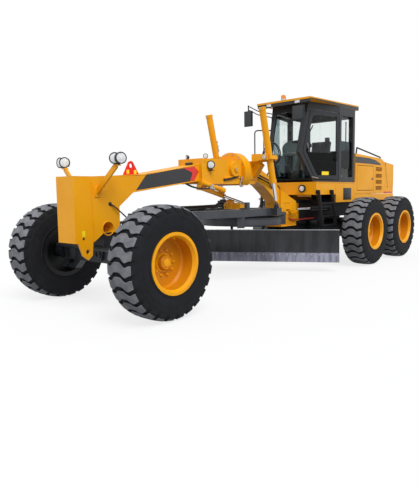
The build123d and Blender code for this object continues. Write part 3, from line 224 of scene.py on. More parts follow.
def repaint(name, base, patches):
    """A copy of one finish, painted over inside boxes of (low, high, tone) in metres."""
    tree, shader, colour, _, _ = surface(name, *FINISHES[base][:3], **FINISHES[base][3])
    place = node(tree, "ShaderNodeTexCoord").outputs["Object"]
    tone = colour.outputs[2]
    for low, high, code in patches:
        low, high = Vector(low), Vector(high)
        away = maths(tree, "SUBTRACT", place, (low + high) / 2, kind="ShaderNodeVectorMath")
        away = maths(tree, "ABSOLUTE", away, kind="ShaderNodeVectorMath")
        away = maths(tree, "SUBTRACT", away, (high - low) / 2, kind="ShaderNodeVectorMath")
        far = node(tree, "ShaderNodeSeparateXYZ", {"Vector": away}).outputs
        most = maths(tree, "MAXIMUM", maths(tree, "MAXIMUM", far[0], far[1]), far[2])
        tone = blended(tree, maths(tree, "LESS_THAN", most, 0.0), tone, linear(code)).outputs[2]
    tree.links.new(tone, shader.inputs["Base Color"])


def plate(bm, outline, y, thick):
    """A flat plate through (x, z) corners at one y, thickened along y."""
    return slab(bm, [(x, y, z) for x, z in outline], (0, thick, 0))


def around(count, radius, start=0.0):
    """Evenly spread places round a circle; start is a share of one step."""
    angles = [2 * pi * (index + start) / count for index in range(count)]
    return [(radius * cos(angle), radius * sin(angle)) for angle in angles]


def film(name, body, finish, outline, y, thick):
    """A self-adhesive film on both flanks, as (x, z) corners."""
    bm = bmesh.new()
    for _, sign in SIDES:
        plate(bm, outline, sign * y, sign * thick)
    return piece(bm, name, body, finish)


# ---------------------------------------------------------------- materials

def linear(code):
    """An sRGB hex colour as linear RGBA."""
    parts = [int(code[i:i + 2], 16) / 255 for i in (1, 3, 5)]
    return [c / 12.92 if c <= 0.04045 else ((c + 0.055) / 1.055) ** 2.4 for c in parts] + [1.0]


def node(tree, kind, inputs=None, **settings):
    """Adds one shader node with its settings, and sets or links its inputs."""
    made = tree.nodes.new(kind)
    for key, value in settings.items():
        setattr(made, key, value)
    for key, value in (inputs or {}).items():
        if isinstance(value, bpy.types.NodeSocket):
            tree.links.new(value, made.inputs[key])
        else:
            made.inputs[key].default_value = value
    return made


def maths(tree, operation, *values, kind="ShaderNodeMath"):
    """The outcome of one sum on numbers, or on vectors where kind says so."""
    return node(tree, kind, dict(enumerate(values)), operation=operation).outputs[0]


def blended(tree, factor, one, other):
    """A node that turns one colour into another."""
    return node(tree, "ShaderNodeMix", {"Factor": factor, 6: one, 7: other}, data_type="RGBA")


def empty_tree(owner):
    """The shader tree of a material or a world, cleared."""
    owner.use_nodes = True
    owner.node_tree.nodes.clear()
    return owner.node_tree


def seen_share(tree):
    """One where the camera looks, straight on or through glass or a mirror, and nought elsewhere."""
    path = node(tree, "ShaderNodeLightPath").outputs
    seen = path["Is Camera Ray"]
    for other in ("Is Glossy Ray", "Is Transmission Ray"):
        seen = maths(tree, "MAXIMUM", seen, path[other])
    return seen


def surface(name, tone, other, roughness, metallic=0.0, patch=500.0, grain=3.0, relief=0.12,
            spread=0.14, stretch=(1, 1, 1), turn=0.0, gloss=None):
    """A finish of two tones in soft patches, with fine grain and uneven gloss."""
    tree = empty_tree(bpy.data.materials.new(name))
    space = node(tree, "ShaderNodeTexCoord").outputs["Object"]
    space = node(tree, "ShaderNodeMapping", {
        "Vector": space, "Rotation": (0, 0, turn), "Scale": [1 / s for s in stretch],
    }, vector_type="TEXTURE").outputs["Vector"]
    cloud = node(tree, "ShaderNodeTexNoise", {
        "Vector": space, "Scale": 1 / (patch * MM), "Detail": 6.0, "Roughness": 0.62})
    fine = node(tree, "ShaderNodeTexNoise", {
        "Vector": space, "Scale": 1 / (grain * MM), "Detail": 2.0})
    share = node(tree, "ShaderNodeMapRange", {
        "Value": cloud.outputs[0], "From Min": 0.38, "From Max": 0.68})
    colour = blended(tree, share.outputs["Result"], linear(tone), linear(other))
    rough = node(tree, "ShaderNodeMapRange", {
        "Value": cloud.outputs[0], "From Min": 0.3, "From Max": 0.7,
        "To Min": roughness - spread / 2, "To Max": roughness + spread / 2})
    bump = node(tree, "ShaderNodeBump", {
        "Height": fine.outputs[0], "Strength": relief, "Distance": grain * MM * 0.4})
    shader = node(tree, "ShaderNodeBsdfPrincipled", {
        "Base Color": colour.outputs[2], "Metallic": metallic, "Roughness": rough.outputs["Result"],
        "Normal": bump.outputs["Normal"], **(gloss or {})})
    node(tree, "ShaderNodeOutputMaterial", {"Surface": shader.outputs["BSDF"]})
    return tree, shader, colour, bump, space


# finish: tone, second tone, roughness, then what differs
FINISHES = {
    # sprayed alkyd enamel on welded plate: warm yellow, satin to gloss, faint orange peel
    "alkyd_enamel_yellow": ("#F4A90A", "#EC9F06", 0.42, {
        "grain": 6.0, "relief": 0.05, "gloss": {"Specular IOR Level": 0.28}}),
    # the same enamel in charcoal on cab and axle: satin, a little dusty
    "alkyd_enamel_charcoal": ("#25282C", "#2F3237", 0.42, {
        "grain": 6.0, "relief": 0.06, "gloss": {"Specular IOR Level": 0.28}}),
    # graphite enamel on drawbar, circle and blade carrier: smoother, edges catch the light
    "graphite_enamel": ("#36393E", "#45484D", 0.32, {
        "grain": 6.0, "relief": 0.06, "gloss": {"Specular IOR Level": 0.35}}),
    # chassis enamel in black: duller, takes road dust
    "chassis_enamel_black": ("#121316", "#1D1E22", 0.5, {
        "grain": 8.0, "relief": 0.08, "gloss": {"Specular IOR Level": 0.25}}),
    # vulcanised tyre rubber, moulded: charcoal with a bloom that greys it in patches
    "vulcanised_rubber": ("#16171A", "#202125", 0.78, {
        "patch": 220.0, "grain": 4.0, "relief": 0.2, "gloss": {"Specular IOR Level": 0.18}}),
    # lug tops scuffed by the road: pale grey, matt and scratched
    "scuffed_tread_rubber": ("#68696E", "#85868B", 0.88, {
        "patch": 110.0, "grain": 3.0, "relief": 0.35, "gloss": {"Specular IOR Level": 0.18}}),
    # hard chrome plate, ground: mirror-bright with faint turning marks
    "hard_chrome": ("#D8D9DC", "#C9CACD", 0.14, {
        "metallic": 1.0, "patch": 120.0, "spread": 0.06, "grain": 1.5, "relief": 0.03}),
    # zinc-plated steel of fittings and caps: pale, slightly cloudy
    "zinc_plated_steel": ("#B9B7B0", "#A3A19A", 0.35, {
        "metallic": 0.9, "patch": 25.0, "grain": 2.0, "relief": 0.1}),
    # rolled high-carbon blade steel, painted black and polished by soil, with streaks along it
    "rolled_blade_steel": ("#1B1C20", "#35373C", 0.34, {
        "metallic": 0.25, "patch": 700.0, "grain": 5.0, "relief": 0.06, "stretch": (1, 5, 1),
        "turn": BLADE_ANGLE}),
    # through-hardened cutting edge: bare blue-grey steel, streaked
    "hardened_edge_steel": ("#8D8E9F", "#5A5B66", 0.36, {
        "metallic": 0.75, "patch": 260.0, "grain": 3.0, "relief": 0.12, "stretch": (1, 5, 1),
        "turn": BLADE_ANGLE}),
    # bright steel strip along the blade's top edge: a painted highlight
    "bright_steel_painted_highlight": ("#C9CAD0", "#A9AAB2", 0.3, {
        "metallic": 0.9, "patch": 80.0, "grain": 3.0, "relief": 0.1}),
    # moulded black polypropylene: fine spark-eroded grain
    "moulded_polypropylene": ("#141517", "#1B1C1F", 0.48, {"patch": 120.0, "grain": 1.6, "relief": 0.25}),
    # cab lining of grey moulded ABS
    "moulded_abs_grey": ("#25282B", "#2E3236", 0.55, {"patch": 200.0, "grain": 1.6, "relief": 0.25}),
    # console hood of teal-grey moulded ABS, paler than the lining
    "moulded_abs_teal_grey": ("#5D7276", "#67797C", 0.5, {"patch": 200.0, "grain": 1.6, "relief": 0.2}),
    # hydraulic hose cover of synthetic rubber: black, matt, faint wrap marks
    "hose_rubber": ("#0F1012", "#1A1B1E", 0.5, {"patch": 60.0, "grain": 2.5, "relief": 0.3}),
    # woven sleeve over the hoses at the hinge: red, dusty
    "woven_hose_sleeve": ("#B0261C", "#8E1D16", 0.8, {"patch": 60.0, "grain": 4.0, "relief": 0.6}),
    # canvas mat rolled behind the seat: tan, coarse weave
    "tan_canvas": ("#B08A5C", "#9C784E", 0.9, {"patch": 60.0, "grain": 4.0, "relief": 0.5}),
    # cast polyvinyl film: charcoal, red and yellow, smooth with a soft sheen
    "vinyl_film_charcoal": ("#25262A", "#2C2D31", 0.4, {"patch": 300.0, "grain": 2.0, "relief": 0.04}),
    "vinyl_film_red": ("#E4322B", "#DB2C25", 0.38, {"patch": 300.0, "grain": 2.0, "relief": 0.04}),
    "vinyl_film_yellow": ("#FFE01A", "#FAD80F", 0.38, {"patch": 300.0, "grain": 2.0, "relief": 0.04}),
    # pressed steel stack: brown-grey heat stains on dull metal
    "heat_stained_steel": ("#3C3630", "#564C42", 0.55, {
        "metallic": 0.7, "patch": 70.0, "grain": 3.0, "relief": 0.2}),
    # louvre slats of the same yellow, darkened to brown as painted shade between the slats
    "louvre_yellow_painted_shade": ("#8E6220", "#A87424", 0.6, {"patch": 60.0, "grain": 3.0, "relief": 0.2}),
    # silvered mirror glass
    "silvered_glass": ("#E6E8EA", "#DDE0E2", 0.06, {
        "metallic": 1.0, "patch": 100.0, "spread": 0.03, "grain": 2.0, "relief": 0.01}),
    # bright prismatic lens over a reflector: white, with moulded flutes
    "fluted_lens": ("#F0F2F2", "#C9CED2", 0.12, {
        "patch": 30.0, "grain": 7.0, "relief": 0.5, "gloss": {"Coat Weight": 0.8, "Coat Roughness": 0.05}}),
    # amber polycarbonate beacon dome: glowing orange, slightly clear
    "amber_polycarbonate": ("#F59A1B", "#E88C12", 0.15, {
        "patch": 40.0, "grain": 6.0, "relief": 0.3, "gloss": {"Transmission Weight": 0.25, "IOR": 1.58}}),
    # red acrylic reflector
    "red_acrylic": ("#D8321A", "#C42A16", 0.3, {
        "patch": 30.0, "grain": 4.0, "relief": 0.3, "gloss": {"Specular IOR Level": 0.25}}),
}

NODE_FINISH = {
    "alkyd_enamel_yellow": (
        "saddle", "circle_drive", "deck", "hood", "hood_door_left", "hood_door_right", "tail_cowl",
        "cab_roof", "lift_barrel_left", "lift_barrel_right", "lift_yoke_left", "lift_yoke_right",
        "shift_barrel",
    ),
    # the front frame's enamel carries painted shade
    "front_frame_enamel_painted_shade": ("front_frame",),
    "lug_enamel": ("front_lugs",),
    "alkyd_enamel_charcoal": (
        "front_axle", "lean_yoke_left", "lean_yoke_right", "lean_bar", "knuckle_left",
        "knuckle_right", "cab_frame", "door_left", "door_right",
    ),
    "graphite_enamel": ("drawbar", "circle", "blade_carrier"),
    "hard_chrome": (
        "lift_rod_left", "lift_rod_right", "shift_rod", "articulation_rod_left",
        "articulation_rod_right", "tie_rod",
    ),
    "rolled_blade_steel": ("moldboard",),
    "hardened_edge_steel": ("cutting_edge",),
    "moulded_abs_grey": ("controls",),
    "laminated_safety_glass": ("cab_glass",),
}


def make_materials():
    """Makes every finish that the pieces and the CAD nodes wear."""
    for name, (tone, other, roughness, rest) in FINISHES.items():
        surface(name, tone, other, roughness, **rest)
    # safety glass: laminated and nearly clear, deeper tinted in the doors' lower lights; the grey-teal on the
    # right door's front pane alone is painted shade
    for name, tone, other, roughness in (
        ("laminated_safety_glass", "#F2F6F5", "#ECF2F0", 0.02),
        ("far_pane_painted_shade_glass", "#7E9195", "#7E9195", 0.03),
        ("deep_tinted_glass", "#3E4C50", "#3E4C50", 0.03),
    ):
        surface(name, tone, other, roughness, patch=900.0, spread=0.01, grain=40.0, relief=0.01,
                gloss={"Transmission Weight": 1.0, "IOR": 1.2})
    # woven polyester seat cover: charcoal, a 4 mm rib crossing a finer one, soft sheen
    tree, shader, colour, bump, space = surface(
        "woven_polyester", "#23262B", "#2D3036", 0.85, patch=120.0, grain=2.0, relief=0.3,
        gloss={"Sheen Weight": 0.4, "Sheen Roughness": 0.5})
    ribs = [
        node(tree, "ShaderNodeTexWave", {"Vector": space, "Scale": 1 / (0.004 * 6.28), "Distortion": 0.4},
             bands_direction=way).outputs["Fac"] for way in ("X", "Z")
    ]
    tree.links.new(maths(tree, "ADD", *ribs), bump.inputs["Height"])
    # rims: bright yellow on the outer flange; painted shade darkens the dish to orange and the inboard side
    # to near black
    for end, wheel in (("front", "tyre_front_left"), ("rear", "tyre_rear_left")):
        half = middle(wheel).y - 0.01
        repaint("rim_enamel_painted_shade_" + end, "alkyd_enamel_yellow", [
            ((-50, -half - 0.19, 0), (50, half + 0.19, 2), "#CF8409"),
            ((-50, -half, 0), (50, half, 2), "#121316"),
        ])
    repaint("lug_enamel", "alkyd_enamel_yellow", [((-50, -1, 1.70), (50, 1, 3), "#E0261C")])
    # front frame: charcoal round the axle pivot, below and behind the side hole, and a darker yellow over the
    # lower hinge block, both painted shade
    shift = AXLE_FRAME.translation.x
    repaint("front_frame_enamel_painted_shade", "alkyd_enamel_yellow", [
        ((shift - 0.115, -1, 0.5), (shift + 0.142, 1, 0.984), "#232428"),
        ((shift - 0.400, -1, 0.8), (shift - 0.1152, 1, 1.2), "#232428"),
        ((shift - 4.37, -1, 0.80), (shift - 3.83, 1, 1.07), "#D98E12"),
    ])


# --------------------------------------------------------------- operators

class GraderSizes(bpy.types.PropertyGroup):
    """Sizes of the pieces that are added to the CAD frame."""
    lug_count: bpy.props.IntProperty(
        name="Tyre lugs", description="Lugs round one tyre", default=26, min=16, max=40)
    lug_height: bpy.props.FloatProperty(
        name="Lug height", description="Depth of the tread", default=28 * MM, unit="LENGTH")
    lug_share: bpy.props.FloatProperty(
        name="Lug share", description="Part of the pitch that the lug takes", default=0.74,
        subtype="FACTOR", min=0.3, max=0.9)
    film_thickness: bpy.props.FloatProperty(
        name="Film thickness", description="How far a stripe stands proud", default=2 * MM, unit="LENGTH")
    edge_bolts: bpy.props.IntProperty(
        name="Edge bolts", description="Bolts along the cutting edge", default=25, min=8, max=40)


class GraderLook(bpy.types.PropertyGroup):
    """Light and ground of the studio."""
    sun_strength: bpy.props.FloatProperty(
        name="Key light", description="Strength of the key light", default=2.2, min=0)
    sky_strength: bpy.props.FloatProperty(
        name="Sky", description="Strength of the soft light all round", default=0.66, min=0)
    floor_colour: bpy.props.FloatVectorProperty(
        name="Floor", description="Colour of the floor", subtype="COLOR", size=4,
        default=(0.85, 0.85, 0.85, 1.0), min=0, max=1)
    floor_bounce: bpy.props.FloatVectorProperty(
        name="Floor bounce", description="Colour that the floor throws back", subtype="COLOR", size=4,
        default=(0.36, 0.36, 0.36, 1.0), min=0, max=1)


class GRADER_OT_stage(bpy.types.Operator):
    """Sets up the floor, the light and the camera"""
    bl_idname = "grader.stage"
    bl_label = "Studio and camera"

    def execute(self, context):
        scene = context.scene
        scene.view_settings.view_transform = "Standard"
        look = scene.grader_look

        material = bpy.data.materials.new("studio_floor")
        tree = empty_tree(material)
        seen = seen_share(tree)
        tone = blended(tree, seen, look.floor_bounce, look.floor_colour).outputs[2]
        plain = node(tree, "ShaderNodeBsdfDiffuse", {"Color": tone})
        white = node(tree, "ShaderNodeEmission", {"Color": (1, 1, 1, 1), "Strength": 1.0})
        both = node(tree, "ShaderNodeMixShader", {
            0: maths(tree, "MULTIPLY", seen, FLOOR_GLOW), 1: plain.outputs[0], 2: white.outputs[0]})
        node(tree, "ShaderNodeOutputMaterial", {"Surface": both.outputs[0]})
        bm = bmesh.new()
        bmesh.ops.create_grid(bm, x_segments=2, y_segments=2, size=60)
        mesh = as_mesh(bm, "studio_floor")
        mesh.materials.append(material)
        floor = add_object("studio_floor", mesh)
        floor.location.z = -0.002

        world = bpy.data.worlds.new("studio_sky")
        scene.world = world
        tree = empty_tree(world)
        seen = seen_share(tree)
        soft = node(tree, "ShaderNodeBackground", {
            "Color": (0.95, 0.97, 1.0, 1.0), "Strength": look.sky_strength})
        white = node(tree, "ShaderNodeBackground", {"Color": (1, 1, 1, 1), "Strength": 1.0})
        both = node(tree, "ShaderNodeMixShader", {0: seen, 1: soft.outputs[0], 2: white.outputs[0]})
        node(tree, "ShaderNodeOutputWorld", {"Surface": both.outputs[0]})

        key = bpy.data.lights.new("key", "SUN")
        key.energy = look.sun_strength
        key.angle = radians(36)
        lamp = add_object("key", key)
        lamp.rotation_euler = (-Vector((0.35, 0.75, 1.0))).to_track_quat("-Z", "Y").to_euler()
        fill = bpy.data.lights.new("fill", "AREA")
        fill.energy = 90
        fill.size = 6
        lamp = add_object("fill", fill)
        lamp.location = (11, -4, 5)
        lamp.rotation_euler = (Vector((0, 0, 1)) - lamp.location).to_track_quat("-Z", "Y").to_euler()

        yaw, pitch, roll = radians(-139.46), radians(-5.8), radians(-0.68)
        ahead = Vector((cos(pitch) * cos(yaw), cos(pitch) * sin(yaw), sin(pitch)))
        level = Vector((sin(yaw), -cos(yaw), 0))
        up = level.cross(ahead)
        right = cos(roll) * level + sin(roll) * up
        top = -sin(roll) * level + cos(roll) * up
        view = bpy.data.cameras.new("front_left_view")
        view.lens = 36.65
        view.shift_x = -0.0303
        view.clip_end = 200
        camera = add_object("front_left_view", view)
        turn = Matrix((right, top, -ahead)).transposed().to_4x4()
        eye = AXLE_FRAME @ Vector((3866, 5356, 1476))
        camera.matrix_world = Matrix.Translation(eye) @ turn
        scene.camera = camera
        return {"FINISHED"}


class GRADER_OT_paint(bpy.types.Operator):
    """Makes the finishes and gives each CAD node its own"""
    bl_idname = "grader.paint"
    bl_label = "Paint the frame"

    def execute(self, context):
        make_materials()
        wears = {name: finish for finish, names in NODE_FINISH.items() for name in names}
        for name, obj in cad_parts.items():
            finish = wears.get(name, "chassis_enamel_black")
            if name.startswith("rim_"):
                # rims wear the enamel with painted shade in the dish and on the inboard side
                finish = "rim_enamel_painted_shade_" + ("front" if "front" in name else "rear")
            if name.startswith("tyre_"):
                finish = "vulcanised_rubber"
            material = bpy.data.materials[finish]
            if not obj.material_slots:
                obj.data.materials.append(material)
            for slot in obj.material_slots:
                slot.material = material
        return {"FINISHED"}


def tread_place(across, height, groove_radius):
    """The (y, radius) of a point on the tread: across the crown, then down the shoulder."""
    flat, bend, sign = 150.0, 52.0, 1 if across > 0 else -1
    reach = abs(across)
    crown = groove_radius - 8 * (min(reach, flat) / flat) ** 2
    if reach <= flat:
        return across, crown + height
    angle = min((reach - flat) / bend, radians(78))
    extra = max(0.0, reach - flat - bend * radians(78))
    out = flat + bend * sin(angle) + height * sin(angle)
    radius = crown - bend * (1 - cos(angle)) + height * cos(angle) - extra
    return sign * out, radius


def lug_wave(across):
    """How far round the tyre a lug's middle line runs at a place across it."""
    knots = ((0, 26), (36, 24), (126, -30), (185, -4), (300, -6))
    reach = abs(across)
    for (a, low), (b, high) in zip(knots, knots[1:]):
        if reach <= b:
            return low + (high - low) * (1 - cos(pi * (reach - a) / (b - a))) / 2
    return knots[-1][1]


def tyre_shape(sizes):
    """One tyre about its own centre, axle along Y: carcass first, then the lugs."""
    bm = bmesh.new()
    groove = TYRE_RADIUS - sizes.lug_height / MM
    flank = [
        (208.5, 318.5), (208.5, 362), (214, 370), (219, 376), (219, 388), (213, 394), (217, 412),
        (221, 440), (221.5, 470), (222, 488), (219, 492), (220, 520), (217, 544), (220, 549), (217, 554),
        (214, 572), (203, 604),
    ]
    crown = [tread_place(reach, 0, groove) for reach in (190, 150, 75)]
    profile = flank + crown + [(0, groove)]
    profile += [(-out, radius) for out, radius in reversed(flank + crown)]
    ring(bm, profile, (0, 0, 0), (0, 1, 0), 96)
    pitch = 2 * pi * TYRE_RADIUS / sizes.lug_count
    lug = bmesh.new()
    width, half = pitch * sizes.lug_share, 286
    block(lug, (-width / 2, -half, -6), (width / 2, half, sizes.lug_height / MM))
    lug.faces.ensure_lookup_table()
    for face in lug.faces:
        face.material_index = 1 if face.normal.z > 0.5 else 0
    long_edges = [e for e in lug.edges if abs(e.verts[0].co.y - e.verts[1].co.y) > 1]
    bmesh.ops.subdivide_edges(lug, edges=long_edges, cuts=23, use_grid_fill=True)
    rim = [e for e in lug.edges if len({f.material_index for f in e.link_faces}) == 2]
    bmesh.ops.bevel(lug, geom=rim, offset=5, offset_type="OFFSET", affect="EDGES", segments=1,
                    profile=0.5, material=-1)
    for face in lug.faces:
        if abs(face.calc_center_median().y) > 186:
            face.material_index = 0
    for vert in lug.verts:
        round_by, across, height = vert.co
        if height > 0:
            height *= 1 - 0.9 * max(0.0, (abs(across) - 150) / (half - 150))
            round_by *= 0.94
        round_by *= 1 - 0.3 * max(0.0, (abs(across) - 170) / (half - 170))
        y, radius = tread_place(across, height, groove)
        angle = (round_by + lug_wave(across)) / TYRE_RADIUS
        vert.co = (radius * cos(angle), y, radius * sin(angle))
    bmesh.ops.recalc_face_normals(lug, faces=lug.faces)
    shape = as_mesh(lug, "one_lug")
    for index in range(sizes.lug_count):
        shape.transform(Matrix.Rotation(2 * pi / sizes.lug_count, 4, "Y"))
        bm.from_mesh(shape)
    bpy.data.meshes.remove(shape)
    # raised bars on the flanks
    for _, sign in SIDES:
        for index in range(24):
            turn = Matrix.Rotation(2 * pi * index / 24, 4, "Y")
            made = block(bm, (478, sign * 216, -9), (512, sign * 222, 9))
            bmesh.ops.transform(bm, matrix=turn, verts=made)
    return as_mesh(bm, "tyre")


class GRADER_OT_tyres(bpy.types.Operator):
    """Makes the six tyres with their wavy lugs"""
    bl_idname = "grader.tyres"
    bl_label = "Tyres"

    def execute(self, context):
        shape = tyre_shape(context.scene.grader_sizes)
        for wheel in WHEELS:
            mesh = shape.copy()
            mesh.transform(Matrix.Translation(middle("tyre_" + wheel)) @ Matrix.Scale(MM, 4))
            finish_piece(
                mesh, "lugged_tyre_" + wheel, "wheel_" + wheel,
                ["vulcanised_rubber", "scuffed_tread_rubber"], ["tyre_" + wheel], smooth=32,
            )
        bpy.data.meshes.remove(shape)
        return {"FINISHED"}


class GRADER_OT_rims(bpy.types.Operator):
    """Adds wheel nuts, lock rings, hub caps and valves"""
    bl_idname = "grader.rims"
    bl_label = "Rim trim"

    def execute(self, context):
        for wheel in WHEELS:
            sign = 1 if wheel.endswith("left") else -1
            place = Matrix.Translation(middle("tyre_" + wheel)) @ Matrix.Scale(MM, 4)
            bm = bmesh.new()
            for outline, steps in (
                (((214, 322), (222, 328), (222, 350), (214, 357), (206, 350), (206, 328)), 72),
                (((1, 93), (10, 93), (12, 112), (1, 116)), 40),
                (((60, 0), (60, 52), (74, 46), (79, 30), (80, 0)), 32),
            ):
                ring(bm, [(sign * a, r) for a, r in outline], (0, 0, 0), (0, 1, 0), steps)
            piece(bm, "rim_rings_" + wheel, "wheel_" + wheel, "alkyd_enamel_yellow", at=place)
            bm = bmesh.new()
            for x, z in around(10, 148):
                rod(bm, (x, sign * 1, z), (x, sign * 16, z), 16, 6)
                rod(bm, (x, sign * 16, z), (x, sign * 30, z), 8, 10)
            for x, z in around(6, 66, 0.5):
                bolt(bm, (x, sign * 65, z), (0, sign, 0), 7, 6)
            rod(bm, (0, sign * 150, 296), (0, sign * 205, 286), 6, 8)
            piece(bm, "wheel_nuts_" + wheel, "wheel_" + wheel, "alkyd_enamel_yellow", at=place)
        return {"FINISHED"}


class GRADER_OT_nose(bpy.types.Operator):
    """Dresses the nose with its lamps, labels, hoses and seams"""
    bl_idname = "grader.nose"
    bl_label = "Nose and front lamps"

    def execute(self, context):
        bm = bmesh.new()
        for _, sign in SIDES:
            y = sign * 190
            rod(bm, (291, y, 884), (291, y, 1688), 4, 8)
            ring(bm, [(0, 80), (sign * 6, 82), (sign * 6, 92), (0, 94)], (70, y, 1040), (0, 1, 0), 40)
            # foot of the lamp stalk, then the flat bar up to the lamps
            block(bm, (180, y - 3, 1436), (262, y + sign * 12, 1566))
            foot, head = Vector((222, sign * 196, 1500)), Vector((190, sign * 552, 1812))
            run = head - foot
            turn = run.to_track_quat("X", "Z").to_matrix().to_4x4()
            block(bm, (foot + head) / 2 - Vector((run.length / 2, 13, 33)),
                  (foot + head) / 2 + Vector((run.length / 2, 13, 33)), turn)
            block(bm, (155, sign * 520, 1806), (215, sign * 600, 1818))
        piece(bm, "lamp_stalks", "front_frame", "alkyd_enamel_yellow", round_by=4, stands_for=["front_lamps"])

        shells, lenses, rims = bmesh.new(), bmesh.new(), bmesh.new()
        # each stalk carries two cans: how far across, and which way each looks, in degrees from ahead
        for sign, cans in ((1, ((-40, 34), (44, 74))), (-1, ((18, 50), (-56, 2)))):
            centre = Matrix.Translation((183, sign * 573, 1893))
            made = block(shells, (-46, -52, -52), (18, 52, 52))
            made += block(shells, (-22, -20, -76), (20, 20, -50))
            bmesh.ops.transform(shells, matrix=centre, verts=made)
            for across, look in cans:
                aim = centre @ Matrix.Translation((0, across, 0)) @ Matrix.Rotation(radians(look), 4, "Z")
                for bm, outline, steps in (
                    (shells, [(-66, 0), (-62, 30), (-44, 54), (-16, 66), (12, 69), (12, 0)], 40),
                    (rims, [(10, 0), (10, 69), (34, 71), (40, 68), (40, 60), (30, 56), (26, 0)], 44),
                    (lenses, [(28, 0), (28, 58), (36, 57), (42, 36), (44, 0)], 40),
                ):
                    made = ring(bm, outline, (0, 0, 0), (1, 0, 0), steps)
                    bmesh.ops.transform(bm, matrix=aim, verts=made)
        piece(shells, "lamp_shells", "front_frame", "moulded_polypropylene", round_by=4)
        piece(lenses, "lamp_lenses", "front_frame", "fluted_lens")
        piece(rims, "lamp_bezels", "front_frame", "moulded_polypropylene")

        bm = bmesh.new()
        for _, sign in SIDES:
            for x in (-555, -430):
                plate(bm, [(x, 1742), (x + 44, 1738), (x + 44, 1792), (x, 1796)], sign * 15, sign * 2)
            plate(bm, [(407, 961), (452, 961), (452, 1030), (407, 1030)], sign * 183, sign * 2)
        piece(bm, "blank_yellow_labels", "front_frame", "vinyl_film_yellow")

        bm = bmesh.new()
        for _, sign in SIDES:
            ring(bm, [(0, 12), (sign * 5, 13), (sign * 5, 25), (0, 27)],
                 (30, sign * 190, 1346), (0, 1, 0), 24)
            rod(bm, (30, sign * 185, 1346), (30, sign * 192, 1346), 20, 24)
            rod(bm, (432, sign * 181, 932), (432, sign * 184.5, 932), 15, 20)
        piece(bm, "nose_grommets", "front_frame", "moulded_polypropylene")
        runs = [[
            (30, sign * 188, 1346), (10, sign * 212, 1335), (-90, sign * 228, 1250), (-225, sign * 232, 1140),
            (-240, sign * 300, 1010), (-130, sign * 420, 900), (-66, sign * 520, 800),
        ] for _, sign in SIDES]
        hoses("nose_hoses", "front_frame", "hose_rubber", runs, 9)
        return {"FINISHED"}


class GRADER_OT_axle(bpy.types.Operator):
    """Adds the front axle's bosses, bolts and ribs"""
    bl_idname = "grader.axle"
    bl_label = "Front axle trim"

    def execute(self, context):
        bm = bmesh.new()
        for x, way in ((-111, -1), (111, 1)):
            ring(bm, [(0, 30), (way * 14, 34), (way * 14, 62), (0, 66)], (x, 0, 700), (1, 0, 0), 32)
            for y, z in around(6, 48):
                bolt(bm, (x, y, 700 + z), (way, 0, 0), 8, 20)
        for _, sign in SIDES:
            for y in (200, 380):
                block(bm, (-82, sign * y, 600), (82, sign * (y + 12), 788))
        piece(bm, "axle_ribs", "front_frame", "alkyd_enamel_charcoal", round_by=2)
        return {"FINISHED"}


class GRADER_OT_beam(bpy.types.Operator):
    """Adds the side stripes, the seams and the hoses of the beam"""
    bl_idname = "grader.beam"
    bl_label = "Beam stripes and hoses"

    def execute(self, context):
        thick = context.scene.grader_sizes.film_thickness / MM
        film("beam_stripe", "front_frame", "vinyl_film_charcoal", [
            (-394, 1517), (-590, 1740), (-1290, 1832), (-1330, 1834), (-1478, 1768), (-1424, 1644),
        ], 190, thick)
        film("beam_chevron", "front_frame", "vinyl_film_red", [
            (-1292, 1834), (-1520, 1866), (-1612, 1792), (-1510, 1652), (-1428, 1644), (-1482, 1770),
        ], 190, thick + 1)
        bm = bmesh.new()
        for _, sign in SIDES:
            for (x0, z0), (x1, z1) in (((-118, 1706), (-570, 1727)), ((-570, 1727), (-1618, 1897)),
                                       ((-352, 1494), (-1520, 1644))):
                rod(bm, (x0, sign * 190, z0), (x1, sign * 190, z1), 5, 8)
        piece(bm, "beam_welds", "front_frame", "alkyd_enamel_yellow")
        bm = bmesh.new()
        block(bm, (-1622, -60, 1893), (-1574, 60, 1932))
        piece(bm, "beam_sensor", "front_frame", "moulded_polypropylene", round_by=6)
        runs = [[
            (-1362, 170 - lane, 1618), (-1380, 190 - lane, 1596), (-1480, 232 - lane, 1552),
            (-1600, 258 - lane, 1536), (-1700, 270 - lane, 1534), (-1770, 280 - lane, 1540),
        ] for lane in (0, 26)]
        hoses("beam_hoses", "front_frame", "hose_rubber", runs, 11)
        return {"FINISHED"}


